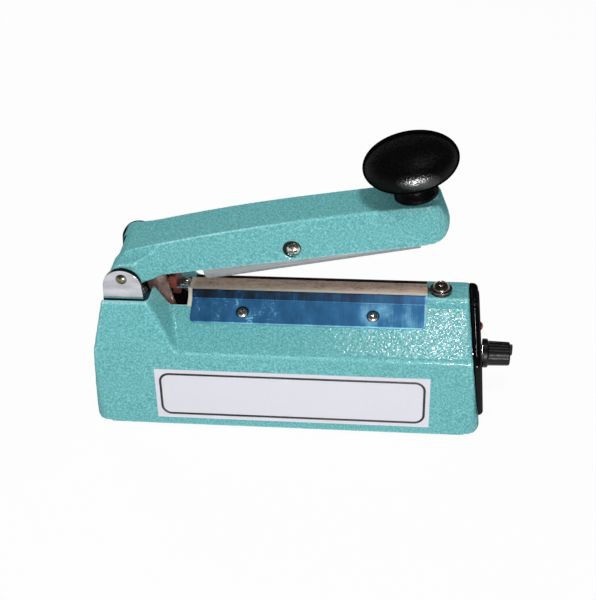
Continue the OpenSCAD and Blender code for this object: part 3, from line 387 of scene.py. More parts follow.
def relief(tree, shader, value, depth):
    """Raises the surface by depth metres where the grey value is white."""
    bump = add(tree, "Bump", {"Height": value, "Distance": depth, "Strength": 1.0})
    tree.links.new(bump.outputs["Normal"], shader.inputs["Normal"])


def gloss(tree, shader, value, low, high):
    """Lets the roughness run from low to high with a grey value."""
    tree.links.new(span(tree, value, *NOISE, low, high), shader.inputs["Roughness"])


def dull_slant(tree, shader, level):
    """Lets the gloss fade along the slant, where the lumps of a skin hide each other."""
    slant = add(tree, "LayerWeight", {"Blend": 0.5}).outputs["Facing"]
    faded = span(tree, slant, 0.35, 0.65, level, 0.0)
    shader.inputs["Specular IOR Level"].default_value = level
    tree.links.new(faded, shader.inputs["Specular IOR Level"])
    return faded


def plain_finish(name, dark, light, size, roughness, depth, **sockets):
    """A finish of two close tones in lumps of one size, with a faint relief and uneven gloss. The size of the
    lumps and the depth of the relief are in millimetres."""
    material, tree, shader = begin(name, **sockets)
    value = lumps(tree, size * MM, 3.0)
    tones(tree, shader, value, list(zip(NOISE, (dark, light))))
    gloss(tree, shader, value, roughness * 0.8, roughness * 1.25)
    relief(tree, shader, value, depth * MM)
    return material


def sprayed_enamel():
    """Textured enamel, sprayed on a casting: close flecks of two greens that glint where they face the light,
    with a painted highlight on the long edges, and dull along the slant, where one lump hides the next. The
    terminal's pocket, the recess round the arm's screw and walls that face inward are painted black as shade."""
    looks = bpy.context.scene.sealer_colours
    sizes = bpy.context.scene.sealer_sizes
    material, tree, shader = begin("enamel_sprayed_textured")
    place = add(tree, "TexCoord")
    facing = add(tree, "SeparateXYZ", {"Vector": place.outputs["Normal"]})
    spot = add(tree, "SeparateXYZ", {"Vector": place.outputs["Object"]})
    fleck = lumps(tree, sizes.fleck, 2.0)
    # Painted highlight: a paler tone, up to #BDE8E8, on the long edges where the pointiness is high
    edge = span(tree, add(tree, "NewGeometry").outputs["Pointiness"], 0.512, 0.545)
    endways = add(tree, "Math", {0: facing.outputs["X"]}, operation="ABSOLUTE")
    long = span(tree, endways.outputs[0], 0.15, 0.35, 1.0, 0.0)
    edge = add(tree, "Math", {0: edge, 1: long}, operation="MULTIPLY")
    green = tones(tree, shader, sums(tree, (fleck, 1.0), (edge.outputs[0], 0.38)),
                  [(0.34, looks.enamel_dark), (0.66, looks.enamel_light), (0.95, "#BDE8E8")])
    # Painted shade: black on walls that face inward, in the terminal's pocket and in the recess round the
    # arm's screw
    side = add(tree, "Math", {0: spot.outputs["Y"]}, operation="SIGN")
    inward = add(tree, "Math", {0: facing.outputs["Y"], 1: side.outputs[0]}, operation="MULTIPLY")
    flat = add(tree, "VectorMath", {0: place.outputs["Object"], 1: (1, 0, 1)}, operation="MULTIPLY")
    recess = (PIVOT * [1, 0, 1] + RECESS_OFF).tolist()
    off = add(tree, "VectorMath", {0: flat.outputs[0], 1: recess}, operation="DISTANCE").outputs["Value"]
    inward_shade = span(tree, inward.outputs[0], -0.35, -0.6)
    # The ring is painted shade in the recess round the arm's screw, moved off its middle to copy a shaded
    # crescent
    ring = span(tree, off, RECESS_R, RECESS_R + 0.3 * MM, 1.0, 0.0)
    painted_shade = in_box(tree, *POCKET, 0.4 * MM)
    for mask in (inward_shade, ring):
        painted_shade = add(tree, "Math", {0: painted_shade, 1: mask}, operation="MAXIMUM").outputs[0]
    mixed = add(tree, "Mix", {0: painted_shade, 6: green.outputs["Color"], 7: linear("#060708")}, data_type="RGBA")
    tree.links.new(mixed.outputs[2], shader.inputs["Base Color"])
    grain = lumps(tree, 1.7 * sizes.fleck, 1.0)
    dull_slant(tree, shader, 0.22)
    gloss(tree, shader, grain, 0.06, 0.22)
    relief(tree, shader, grain, sizes.fleck_depth)
    return material


def plated_chrome():
    """Chromium plate on pressed steel: a near mirror with wiped smears on the outside and on the web, and
    painted dark shade on the sheared edges and the inside of the ears."""
    material, tree, shader = begin("chrome_plated_steel", Metallic=1.0, Roughness=0.14)
    place = add(tree, "TexCoord")
    facing = add(tree, "SeparateXYZ", {"Vector": place.outputs["Normal"]})
    spot = add(tree, "SeparateXYZ", {"Vector": place.outputs["Object"]})
    # Painted shade: faces that neither face outward nor belong to the web go dark
    away = add(tree, "Math", {0: facing.outputs["Y"], 1: spot.outputs["Y"]}, operation="MULTIPLY")
    outside = span(tree, away.outputs[0], 16 * MM, 20 * MM)
    web = span(tree, spot.outputs["Z"], 57 * MM, 58 * MM, 1.0, 0.0)
    bright = add(tree, "Math", {0: outside, 1: web}, operation="MAXIMUM")
    smear = lumps(tree, 5 * MM, 4.0, (3, 1, 1))
    wiped = span(tree, smear, *NOISE, 0.6, 1.0)
    shown = add(tree, "Math", {0: bright.outputs[0], 1: wiped}, operation="MULTIPLY")
    tones(tree, shader, shown.outputs[0], [(0.0, "#1C1A1A"), (0.6, "#A8A9B0"), (1.0, "#D4D5DA")])
    gloss(tree, shader, smear, 0.09, 0.24)
    relief(tree, shader, lumps(tree, 0.5 * MM, 2.0), 0.004 * MM)
    return material


def plated_nickel():
    """Nickel plate on turned screws: warm grey metal, a little dull, with painted shade in the driver's
    slots.
    """
    material, tree, shader = begin("nickel_plated_screw", Metallic=1.0, Roughness=0.24)
    rubbed = lumps(tree, 0.8 * MM, 3.0)
    # Painted shade: ambient occlusion darkens the driver's slots and other hollows
    clean_or_unshaded = add(tree, "AmbientOcclusion", {"Distance": 0.9 * MM}, samples=8, only_local=True).outputs["AO"]
    shown = add(tree, "Math", {0: clean_or_unshaded, 1: span(tree, rubbed, *NOISE, 0.8, 1.0)}, operation="MULTIPLY")
    tones(tree, shader, shown.outputs[0], [(0.3, "#15120F"), (0.7, "#A19B92"), (1.0, "#E2DED6")])
    gloss(tree, shader, rubbed, 0.18, 0.3)
    relief(tree, shader, rubbed, 0.008 * MM)
    return material


def filmed_steel():
    """Stainless plate under its blue protective film: a streaked blue sheen, painted shade at the hinge end,
    a painted sheen towards the panel, a painted dark reflection on the lip, painted shade under the screws,
    pale where the film lifts at its creases, and painted highlights on the fold, the low edge and the panel
    end."""
    looks = bpy.context.scene.sealer_colours
    material, tree, shader = begin("stainless_blue_filmed", Metallic=0.25, Specular_IOR_Level=0.12)
    place = add(tree, "TexCoord")
    mark = add(tree, "SeparateXYZ", {"Vector": place.outputs["UV"]})
    streak = lumps(tree, 0.35 * MM, 3.0, (1, 30, 1), "UV")
    patch = lumps(tree, 7 * MM, 3.0, (1, 2, 1), "UV")
    # Painted shade towards the hinge end, and a painted sheen towards the end by the panel
    along = span(tree, mark.outputs["X"], PLATE[0], PLATE[1])
    painted_sheen = span(tree, mark.outputs["X"], 30 * MM, 42 * MM)
    # The lip gets a painted dark reflection; on the rear plate it goes black as painted shade
    lip = span(tree, mark.outputs["Y"], PLATE_BEND - 0.8 * MM, PLATE_BEND + 0.2 * MM)
    # Painted highlights on the low edge, on the end by the panel and along the fold
    low_edge_highlight = span(tree, mark.outputs["Y"], 0, 0.7 * MM, 1.0, 0.0)
    far_edge_highlight = span(tree, mark.outputs["X"], PLATE[1] - 1.2 * MM, PLATE[1])
    off = add(tree, "Math", {0: mark.outputs["Y"], 1: -PLATE_BEND}, operation="ADD")
    off = add(tree, "Math", {0: off.outputs[0]}, operation="ABSOLUTE")
    fold = span(tree, off.outputs[0], 0, 0.6 * MM, 1.0, 0.0)
    # Painted shade round the screw heads, and a slightly paler ring beyond it
    screw_distance = 1.0
    for out in (-SCREW_OUT, SCREW_OUT):
        spot = ((PLATE[0] + PLATE[1]) / 2 + out, PLATE_SCREW, 0)
        away = add(tree, "VectorMath", {0: place.outputs["UV"], 1: spot}, operation="DISTANCE")
        screw_distance = add(tree, "Math", {0: away.outputs["Value"], 1: screw_distance}, operation="MINIMUM").outputs[0]
    screw_shade = span(tree, screw_distance, 2.9 * MM, 3.3 * MM, 1.0, 0.0)
    halo = span(tree, screw_distance, 3.3 * MM, 9 * MM, 1.0, 0.0)
    swirl = add(tree, "TexNoise", {"Vector": place.outputs["UV"], "Scale": 1 / (5 * MM), "Distortion": 1.5})
    swirl = add(tree, "Math", {0: swirl.outputs["Fac"], 1: -0.5}, operation="ADD")
    swirl = add(tree, "Math", {0: swirl.outputs[0]}, operation="ABSOLUTE")
    crease = add(tree, "Math", {0: span(tree, swirl.outputs[0], 0.006, 0.022, 1.0, 0.0),
                                1: span(tree, patch, 0.5, 0.62)}, operation="MULTIPLY")
    fewer = span(tree, mark.outputs["X"], -20 * MM, 10 * MM, 0.36, 0.1)
    crease = add(tree, "Math", {0: crease.outputs[0], 1: fewer}, operation="MULTIPLY")
    deep = add(tree, "SeparateXYZ", {"Vector": place.outputs["Object"]})
    shaded = add(tree, "Math", {0: lip, 1: span(tree, deep.outputs["Y"], -MM, MM)}, operation="MULTIPLY")
    value = sums(tree, (along, 0.14), (painted_sheen, 0.08), (streak, 0.3), (patch, 0.6), (lip, -0.38),
                 (low_edge_highlight, 0.42), (far_edge_highlight, 0.5), (fold, 0.5), (screw_shade, -0.6), (halo, 0.12),
                 (crease.outputs[0], 1.0), (shaded.outputs[0], -1.0))
    tones(tree, shader, value, [(0.0, "#04080C"), (0.2, looks.film_deep), (0.64, looks.film_blue),
                                (1.0, looks.film_pale)])
    gloss(tree, shader, streak, 0.42, 0.56)
    relief(tree, shader, lumps(tree, 4 * MM, 3.0, (1, 2.5, 1), "UV"), 0.12 * MM)
    return material


def woven_cloth():
    """Glass cloth coated with release resin: a plain weave, browned in the middle and pale at its edges."""
    looks = bpy.context.scene.sealer_colours
    sizes = bpy.context.scene.sealer_sizes
    material, tree, shader = begin("glass_cloth_coated", Roughness=0.55, Sheen_Weight=0.2)
    place = add(tree, "TexCoord")
    split = add(tree, "SeparateXYZ", {"Vector": place.outputs["UV"]})
    weave, turns = 1.0, 2 * math.pi / sizes.thread
    for axis in ("X", "Y"):
        turn = add(tree, "Math", {0: split.outputs[axis], 1: turns}, operation="MULTIPLY")
        wave = add(tree, "Math", {0: turn.outputs[0]}, operation="SINE")
        weave = add(tree, "Math", {0: wave.outputs[0], 1: weave}, operation="MULTIPLY").outputs[0]
    raised = span(tree, weave, -1.0, 1.0)
    stain = lumps(tree, 1.1 * MM, 4.0, (1.6, 1, 1), "UV")
    near = span(tree, split.outputs["Y"], -5.4 * MM, -1.8 * MM, 1.0, 0.0)
    far = span(tree, split.outputs["Y"], 5.0 * MM, 6.0 * MM)
    end = span(tree, split.outputs["X"], PLATE[0] - 0.5 * MM, PLATE[0] + 1.0 * MM, 1.0, 0.0)
    clean_or_unshaded = add(tree, "Math", {0: near, 1: far}, operation="MAXIMUM")
    clean_or_unshaded = add(tree, "Math", {0: clean_or_unshaded.outputs[0], 1: end}, operation="MAXIMUM")
    blot = span(tree, lumps(tree, 3.2 * MM, 3.0, (2.2, 1, 1), "UV"), 0.35, 0.65, -0.06, 0.18)
    shown = sums(tree, (clean_or_unshaded.outputs[0], 0.8), (stain, 0.55), (raised, 0.14), (blot, 1.0))
    tones(tree, shader, shown, [(0.16, looks.cloth_scorched), (0.42, looks.cloth_tan),
                                (0.95, looks.cloth_pale)])
    relief(tree, shader, raised, 0.06 * MM)
    return material


def moulded_grip():
    """Phenolic grip, moulded with a fine grain: deep matt black, polished at the low front where fingers rub
    it, so the light breaks up into glints there."""
    material, tree, shader = begin("phenolic_satin_moulded")
    grain = lumps(tree, 0.8 * MM, 2.0)
    tones(tree, shader, grain, [(0.3, "#050505"), (0.7, "#0B0B0C")])
    place = add(tree, "TexCoord")
    off = add(tree, "VectorMath", {0: place.outputs["Object"], 1: GRIP_RUBBED}, operation="SUBTRACT")
    off = add(tree, "VectorMath", {0: off.outputs[0], 1: (0.5, 0.5, 1.2)}, operation="MULTIPLY")
    off = add(tree, "VectorMath", {0: off.outputs[0]}, operation="LENGTH")
    rubbed = span(tree, off.outputs["Value"], 1.5 * MM, 5.5 * MM, 0.9, 0.0)
    level = add(tree, "Math", {0: dull_slant(tree, shader, 0.05), 1: rubbed}, operation="MAXIMUM")
    tree.links.new(level.outputs[0], shader.inputs["Specular IOR Level"])
    gloss(tree, shader, grain, 0.2, 0.34)
    relief(tree, shader, grain, 0.28 * MM)
    return material


def moulded_gloss():
    """ABS moulded in a polished tool: deep black, with slow waves that bend the lights in it."""
    material, tree, shader = begin("abs_gloss_moulded")
    wave = lumps(tree, 6 * MM, 3.0)
    tones(tree, shader, wave, [(0.3, "#060607"), (0.7, "#0B0B0D")])
    dull_slant(tree, shader, 0.13)
    gloss(tree, shader, wave, 0.11, 0.17)
    relief(tree, shader, wave, 0.03 * MM)
    return material


def extruded_bar():
    """Aluminium bar, extruded: fine draw lines along it, bright on its side, and painted shade darkening the
    seam under the arm."""
    material, tree, shader = begin("aluminium_extruded", Metallic=1.0)
    lines = lumps(tree, 0.4 * MM, 3.0, (60, 1, 1), turn=-BAR_TURN)
    # Painted shade: ambient occlusion darkens the bar's top in the seam under the arm
    clean_or_unshaded = add(tree, "AmbientOcclusion", {"Distance": 6 * MM}, samples=8).outputs["AO"]
    shown = sums(tree, (span(tree, clean_or_unshaded, 0.6, 1.0), 0.7), (lines, 0.4))
    tones(tree, shader, shown, [(0.2, "#101112"), (0.75, "#7D8184"), (1.0, "#AAAEAE")])
    gloss(tree, shader, lines, 0.24, 0.38)
    relief(tree, shader, lines, 0.01 * MM)
    return material


def tinted_lamp():
    """Tinted acrylic lamp: dark red, glossy and a little clear, so its middle looks deeper than its rim."""
    looks = bpy.context.scene.sealer_colours
    material, tree, shader = begin("acrylic_red_tinted", Roughness=0.08, IOR=1.49, Base_Color=looks.lamp_red,
                                   Transmission_Weight=0.25, Coat_Weight=0.5)
    relief(tree, shader, lumps(tree, 1.5 * MM, 2.0), 0.01 * MM)
    return material


# Finishes with a function of their own, by the word that the operators use
SPECIAL = {"enamel": sprayed_enamel, "chrome": plated_chrome, "nickel": plated_nickel, "film": filmed_steel,
           "cloth": woven_cloth, "lamp": tinted_lamp, "grip": moulded_grip, "gloss_black": moulded_gloss,
           "bar": extruded_bar}

# Plain finishes: name, dark and light tone, lumps' width in millimetres, roughness, and depth in millimetres
PLAIN = {
    "knob_black": ("abs_satin_moulded", "#08080A", "#0F0F12", 0.8, 0.4, 0.03),
    "rubber": ("rubber_moulded", "#121212", "#1D1D1D", 1.2, 0.7, 0.05),
    "silicone": ("silicone_rubber_extruded", "#8B8C8E", "#A3A4A6", 1.5, 0.6, 0.04),
    "fibre": ("vulcanised_fibre_cut", "#6C2412", "#8E341B", 1.5, 0.55, 0.05),
    "strip": ("glass_laminate_cut", "#B7A98A", "#CDBF9F", 1.0, 0.6, 0.04),
    "label": ("polyester_label_printed", "#E1E0E9", "#E5E4EB", 0.6, 0.34, 0.01),
    "ink": ("ink_printed", "#0B0B0D", "#131316", 2, 0.45, 0.004),
    "core": ("silicon_steel_stacked", "#3B3C40", "#55565B", 0.5, 0.5, 0.05),
    "coil": ("polyester_tape_wound", "#B98A1E", "#D2A536", 3, 0.35, 0.03),
    "board": ("glass_epoxy_coated", "#14522A", "#1D6A38", 2, 0.35, 0.02),
    "relay": ("nylon_blue_moulded", "#1A3C86", "#244C9C", 3, 0.4, 0.02),
    "sleeve": ("pvc_sleeve_shrunk", "#15161C", "#22242C", 3, 0.3, 0.02),
    "nylon": ("nylon_white_moulded", "#D8D4C8", "#E6E2D8", 2, 0.5, 0.03),
    "spring_steel": ("spring_steel_polished", "#8E8E92", "#B9B9BD", 1, 0.28, 0.01),
    # The lever's pink tone is a painted reflection of the room
    "lever_steel": ("steel_copper_flashed", "#93635A", "#D0A298", 4, 0.24, 0.02),
    "zinc": ("zinc_plated_sheet", "#9DA0A3", "#C4C6C8", 4, 0.4, 0.02),
    "pin": ("steel_oiled_turned", "#5A5648", "#8C8672", 1, 0.3, 0.02),
    "terminal": ("nickel_tarnished_turned", "#5E544F", "#9A8E86", 1, 0.18, 0.01),
    "ribbon": ("nichrome_rolled", "#6E6B66", "#95918A", 1, 0.35, 0.01),
    "bronze": ("bronze_sintered", "#6E4A22", "#95692F", 0.5, 0.45, 0.03),
}

# Plain finishes of bare metal, and the level of two others that mirror more or less than usual
METALS = ("spring_steel", "zinc", "pin", "terminal", "ribbon", "bronze")
SHINE = {"knob_black": {"Specular_IOR_Level": 0.2}, "lever_steel": {"Metallic": 0.6},
         **{word: {"Metallic": 1.0} for word in METALS}}


@functools.cache
def finish(word):
    """The finish that the operators call word, made at its first use and then shared."""
    if word in SPECIAL:
        return SPECIAL[word]()
    return plain_finish(*PLAIN[word], **SHINE.get(word, {}))


def dress(piece, word):
    """Gives a piece its finish in place of any that it has."""
    piece.data.materials.clear()
    piece.data.materials.append(finish(word))


def dress_nodes(word, names, edge="screw_edge"):
    """Gives CAD nodes a finish, and rounds their edges by one of the scene's sizes."""
    for name in names:
        dress(NODES[name], word)
        weld(NODES[name])
        soften(NODES[name], getattr(bpy.context.scene.sealer_sizes, edge))


# Operators, one for each piece or group

class SEALER_OT_castings(bpy.types.Operator):
    """Skins the casting and the arm, and sprays them with textured enamel"""

    bl_idname = "sealer.castings"
    bl_label = "Castings"

    def execute(self, context):
        sizes = context.scene.sealer_sizes
        skin(NODES["housing"], sizes.casting_voxel, 4)
        skin(NODES["arm"], sizes.arm_voxel, 5)
        for name in ("housing", "arm"):
            dress(NODES[name], "enamel")
        return {"FINISHED"}


class SEALER_OT_grip(bpy.types.Operator):
    """Turns the mushroom grip on its neck"""

    bl_idname = "sealer.grip"
    bl_label = "Mushroom grip"

    def execute(self, context):
        out, seat, sunk, wide, thick, neck_h, boxed = 140.0, 13.735, 0.25, 43.9, 20.6, 6.8, 0.8
        neck = fillet([(0, 0, 0), (10.2, 0, 0.5), (10.2, 1.5, 1.2), (8.5, 4.6, 3), (8.4, neck_h + 0.2, 0)])
        angle = np.radians(np.linspace(-66, 90, 64))
        radius = wide / 2 * np.cos(angle).clip(0) ** boxed
        head = np.stack([radius, neck_h + thick / 2 * (1 + np.sin(angle))], axis=-1)
        points = lathe(np.concatenate([neck, head]) * MM)
        lean = Matrix.Rotation(math.radians(-1.4), 4, "Y")
        place = arm_matrix() @ Matrix.Translation((out * MM, 0, (seat - sunk) * MM)) @ lean
        grip = surface("grip", moved(points, place), around=True)
        dress(grip, "grip")
        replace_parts(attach(grip, "arm"), "handle_knob")
        dress_nodes("nickel", ["knob_stud", "knob_nut"])
        return {"FINISHED"}


class SEALER_OT_timer(bpy.types.Operator):
    """Moulds the timer's fluted knob with its pointer"""

    bl_idname = "sealer.timer"
    bl_label = "Timer knob"

    def execute(self, context):
        low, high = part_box("timer_knob")
        back, face = low.x / MM, high.x / MM - 1.2
        flange, rim, body, taper, steps, sides = 7.2, 2.7, 6.0, 0.15, 8, 144
        flutes, flute_wide, flute_deep = 12, 0.16, 0.075
        profile = fillet([(0, back, 0), (flange, back, 0.3), (flange, back + rim, 0.8),
                          (body + taper, back + rim, 0.3), (body - taper, face, 0.9), (0, face, 0)], steps)
        cap = steps + 2
        profile = np.concatenate([profile[:-cap], evenly(profile[-cap:], 24)])
        points = lathe(profile, sides)
        turn = np.linspace(0, flutes, sides, endpoint=False)[:, None]
        on_body = (profile[:, 1] > back + rim + 0.3) & (profile[:, 0] > body - 1.5)
        groove = np.exp(-((turn % 1 - 0.5) / flute_wide) ** 2)
        points[..., :2] = points[..., :2] * (1 - flute_deep * groove * on_body)[..., None]
        nub = pebble((2.4, 0, face + 0.3), (3.2, 0.75, 0.9), 0.45)
        knob = surface("timer_dial", self.along_x(points), around=True)
        nub = surface("timer_pointer", self.along_x(nub), around=True)
        for piece in (knob, nub):
            dress(piece, "knob_black")
            even_shading(piece)
            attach(piece, "timer")
        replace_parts(knob, "timer_knob")
        dress_nodes("nickel", ["timer_shaft", "potentiometer_nut"])
        return {"FINISHED"}

    def along_x(self, points):
        """Lays a turned piece with its axis along x, at the timer's height, with its own x pointing up."""
        return np.stack([points[..., 2] * MM, points[..., 1] * MM, points[..., 0] * MM + TIMER[2]], axis=-1)


class SEALER_OT_panel(bpy.types.Operator):
    """Moulds the control panel with a rounded rim, and sets its lamp and screws"""

    bl_idname = "sealer.panel"
    bl_label = "Control panel"

    def execute(self, context):
        foot, proud, rim, end_fall, face_fall, low = 94.0, 1.1, 2.4, 0.122, 0.072, 11.0
        half = [(0, low, 0), (FOOT_HALF / MM - low * math.tan(WALL_LEAN), low, 3),
                (RIDGE_HALF / MM, RIDGE_H / MM, 6), (SHOULDER_HALF / MM, SHOULDER_H / MM, 1),
                (DECK_HALF / MM, DECK_H / MM, 2.5), (0, DECK_H / MM, 0)]
        right = evenly(fillet(half, 8), 120)
        outline = np.concatenate([right[:-1], (right * [-1, 1])[:0:-1]])
        ahead = np.roll(outline, -1, axis=0) - np.roll(outline, 1, axis=0)
        inward = np.stack([-ahead[:, 1], ahead[:, 0]], axis=-1) / np.linalg.norm(ahead, axis=1, keepdims=True)
        turn = np.linspace(0, math.pi / 2, 9)
        inset = np.concatenate([[0], rim * (1 - np.cos(turn))])
        rings = outline[:, None] + inward[:, None] * inset[:, None]
        middle = np.array([0, 32.0])
        share = np.linspace(0, 1, 12)[1:, None]
        inner = rings[:, -1:] * (1 - share) + middle * share
        flat = np.concatenate([rings, inner], axis=1)
        drawn = np.concatenate([[0], rim * (1 - np.sin(turn)), np.zeros(len(share))])
        across = foot + proud - face_fall * (flat[..., 1] - low) - drawn
        across[:, 0] = foot - end_fall * flat[:, 0, 1]
        points = np.stack([across, flat[..., 0], flat[..., 1]], axis=-1)
        back = np.broadcast_to([foot - end_fall * middle[1], *middle], (len(outline), 1, 3))
        points = np.concatenate([back, points], axis=1) * MM
        panel = surface("panel_moulding", moved(points, casting_matrix()), around=True)
        dress(panel, "gloss_black")
        even_shading(panel)
        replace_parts(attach(panel, "base"), "control_panel")
        dress_nodes("lamp", ["indicator_lamp"])
        dress_nodes("gloss_black", ["panel_screws"])
        return {"FINISHED"}


class SEALER_OT_label(bpy.types.Operator):
    """Lays the bare label with its printed frame line"""

    bl_idname = "sealer.label"
    bl_label = "Label"

    def execute(self, context):
        left, right, middle, half, inset, radius, line = -62.1, 69.5, 18.4, 14.25, 2.6, 4.5, 1.15
        dress_nodes("label", ["label_plate"], "foil_edge")
        x0, x1, z0, z1 = left + inset, right - inset, middle - half + inset, middle + half - inset
        seam = ((x0 + x1) / 2, z0, 0)
        turns = [(x1, z0, radius), (x1, z1, radius), (x0, z1, radius), (x0, z0, radius)]
        self.print_line("label_frame", fillet([seam, *turns, seam], 10)[:-1], line)
        return {"FINISHED"}

    def print_line(self, name, loop, width):
        """A printed line: a flat band, width wide and as thick as ink, carried round a closed loop on the
        label."""
        thick, sunk, ink = 0.2, 0.01, 0.05
        ahead = np.roll(loop, -1, axis=0) - np.roll(loop, 1, axis=0)
        side = np.stack([ahead[:, 1], -ahead[:, 0]], axis=-1) / np.linalg.norm(ahead, axis=1, keepdims=True)
        out = np.array([1, 1, -1, -1, 1]) * width / 2
        rise = thick + np.array([-sunk, ink, ink, -sunk, -sunk])
        flat = loop[:, None] + side[:, None] * out[:, None]
        points = np.stack(np.broadcast_arrays(flat[..., 0], -rise, flat[..., 1]), axis=-1) * MM
        wall = Matrix.Translation((0, -FOOT_HALF, 0)) @ Matrix.Rotation(-WALL_LEAN, 4, "X")
        band = surface(name, moved(points, casting_matrix() @ wall), around=True)
        dress(band, "ink")
        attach(band, "base")


class SEALER_OT_hinge(bpy.types.Operator):
    """Plates the hinge bracket, and winds the return spring"""

    bl_idname = "sealer.hinge"
    bl_label = "Hinge"

    def execute(self, context):
        dress_nodes("chrome", ["hinge_bracket"], "sheet_edge")
        dress_nodes("pin", ["hinge_pin"])
        dress_nodes("bronze", ["hinge_bushes"])
        dress_nodes("nickel", ["bracket_screws"])
        self.wind()
        return {"FINISHED"}

    def wind(self):
        """A round wire carried along a helix about the hinge pin, (r cos a, pitch a / 2 pi, -r sin a), with a
        straight leg down to the bracket at its start and one out under the arm at its end. It twists from
        the base to the arm along the pin."""
        coil, wire, pitch, turns = 4.1, 0.75, 2.05, 6.25
        foot, lift, tilt = 20.25, 21.0, math.radians(4.07)
        half = pitch * turns / 2
        share = np.linspace(0, 1, 301)
        angle = math.pi + (2 * math.pi * turns - tilt) * share
        helix = np.stack([coil * np.cos(angle), (2 * share - 1) * half, -coil * np.sin(angle)], axis=-1)
        down = [[-coil, -half, -foot * k] for k in (1, 0.5)]
        out = [helix[-1] + np.array([math.cos(tilt), 0, math.sin(tilt)]) * lift * k for k in (0.5, 1)]
        path = np.concatenate([down, helix, out]) * MM + PIN
        spring = surface("spring_wire", tube(path, wire * MM, 16), around=True)
        dress(spring, "spring_steel")
        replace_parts(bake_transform(spring), "return_spring")


class SEALER_OT_press(bpy.types.Operator):
    """Finishes the press bar, its pad and its screw"""

    bl_idname = "sealer.press"
    bl_label = "Press bar"

    def execute(self, context):
        dress_nodes("bar", ["press_bar"], "sheet_edge")
        dress_nodes("silicone", ["press_pad"], "sheet_edge")
        dress_nodes("nickel", ["press_bar_screw", "press_bar_nut"])
        return {"FINISHED"}


class SEALER_OT_lever(bpy.types.Operator):
    """Finishes the switch lever and its screws"""

    bl_idname = "sealer.lever"
    bl_label = "Switch lever"

    def execute(self, context):
        dress_nodes("lever_steel", ["switch_lever"], "sheet_edge")
        dress_nodes("nickel", ["lever_screws"])
        return {"FINISHED"}


def over_roof(edge, out, top):
    """The line of the roof, the shoulder and the deck's side, moved out by out metres, as (y, z) from the
    low edge up to the height top."""
    slope = math.atan(ROOF_FALL)
    lean = math.atan((SHOULDER_HALF - DECK_HALF) / (DECK_H - SHOULDER_H))
    up, side = out / math.cos(slope), out / math.cos(lean)
    bend = SHOULDER_HALF + (side - math.tan(lean) * up) / (1 - math.tan(lean) * ROOF_FALL)
    roof = [SHOULDER_H - (y - SHOULDER_HALF) * ROOF_FALL + up for y in (edge, bend)]
    end = SHOULDER_HALF + side - (top - SHOULDER_H) * math.tan(lean)
    return [(edge, roof[0]), (bend, roof[1]), (end, top)]


class SEALER_OT_clamp_plates(bpy.types.Operator):
    """Folds the two clamp plates, with their film, and sets their screws"""

    bl_idname = "sealer.clamp_plates"
    bl_label = "Clamp plates"

    def execute(self, context):
        for side, word in ((-1, "front"), (1, "rear")):
            self.fold(side, word + "_plate", word + "_clamp_plate")
        dress_nodes("nickel", ["clamp_plate_screws"])
        return {"FINISHED"}

    def fold(self, side, name, node):
        """A plate carried along x on its folded section, with its two low corners drawn in on an arc."""
        thick, over, corner, bend, rim = 1.0 * MM, 0.25 * MM, 2.5 * MM, 1.2 * MM, 0.18 * MM
        (left, right), edge, top = PLATE, 19.6 * MM, 60.05 * MM
        line = over_roof(edge, over + thick / 2, top)
        section = evenly(fillet([(*line[0], 0), (*line[1], bend), (*line[2], 0)], 8), 60)
        way = way_along(section)
        drawn = corner - np.sqrt(np.clip(corner ** 2 - np.clip(corner - way, 0, None) ** 2, 0, None))
        share = np.linspace(0, 1, 160)[:, None]
        across = (left + drawn) * (1 - share) + (right - drawn) * share
        points = np.stack(np.broadcast_arrays(across, side * section[:, 0], section[:, 1]), axis=-1)
        marks = np.stack(np.broadcast_arrays(across, way), axis=-1)
        plate = surface(name, moved(points, casting_matrix()), marks=marks)
        thicken(plate, thick)
        soften(plate, rim)
        dress(plate, "film")
        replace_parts(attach(plate, "base"), node)


class SEALER_OT_cloth(bpy.types.Operator):
    """Lays the release cloth over the strip and the element, and finishes what lies under it"""

    bl_idname = "sealer.cloth"
    bl_label = "Release cloth"

    def execute(self, context):
        thick, strip_half, strip_thick = 0.25 * MM, 4.8 * MM, 1.2 * MM
        ribbon_half, ribbon_thick, ribbon_slant = 1.5 * MM, 0.3 * MM, 0.8 * MM
        left, right, edge = PLATE[0] - 2.2 * MM, PLATE[1] + 0.4 * MM, 11.2 * MM
        lift = thick / 2
        side, strip_top = strip_half + lift, DECK_H + strip_thick + lift
        ribbon_top = strip_top + ribbon_thick
        foot, bend, _ = over_roof(edge, lift, DECK_H + lift)
        half = [(*foot, 0), (*bend, 1 * MM), (side, DECK_H, 0.3 * MM), (side, strip_top, 0.5 * MM),
                (ribbon_half + ribbon_slant, strip_top, 0.5 * MM), (ribbon_half, ribbon_top, 0.3 * MM),
                (0, ribbon_top, 0)]
        near = fillet(half, 6)
        section = evenly(np.concatenate([near * [-1, 1], near[-2::-1]]), 140)
        way = way_along(section)
        along = np.linspace(left, right, 220)[:, None]
        points = np.stack(np.broadcast_arrays(along, section[:, 0], section[:, 1]), axis=-1)
        marks = np.stack(np.broadcast_arrays(along, way - way[-1] / 2), axis=-1)
        cloth = surface("release_cloth", moved(points, casting_matrix()), marks=marks)
        thicken(cloth, thick)
        dress(cloth, "cloth")
        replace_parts(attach(cloth, "base"), "ptfe_cloth")
        dress_nodes("strip", ["seal_strip"])
        dress_nodes("ribbon", ["heating_element"], "foil_edge")
        return {"FINISHED"}


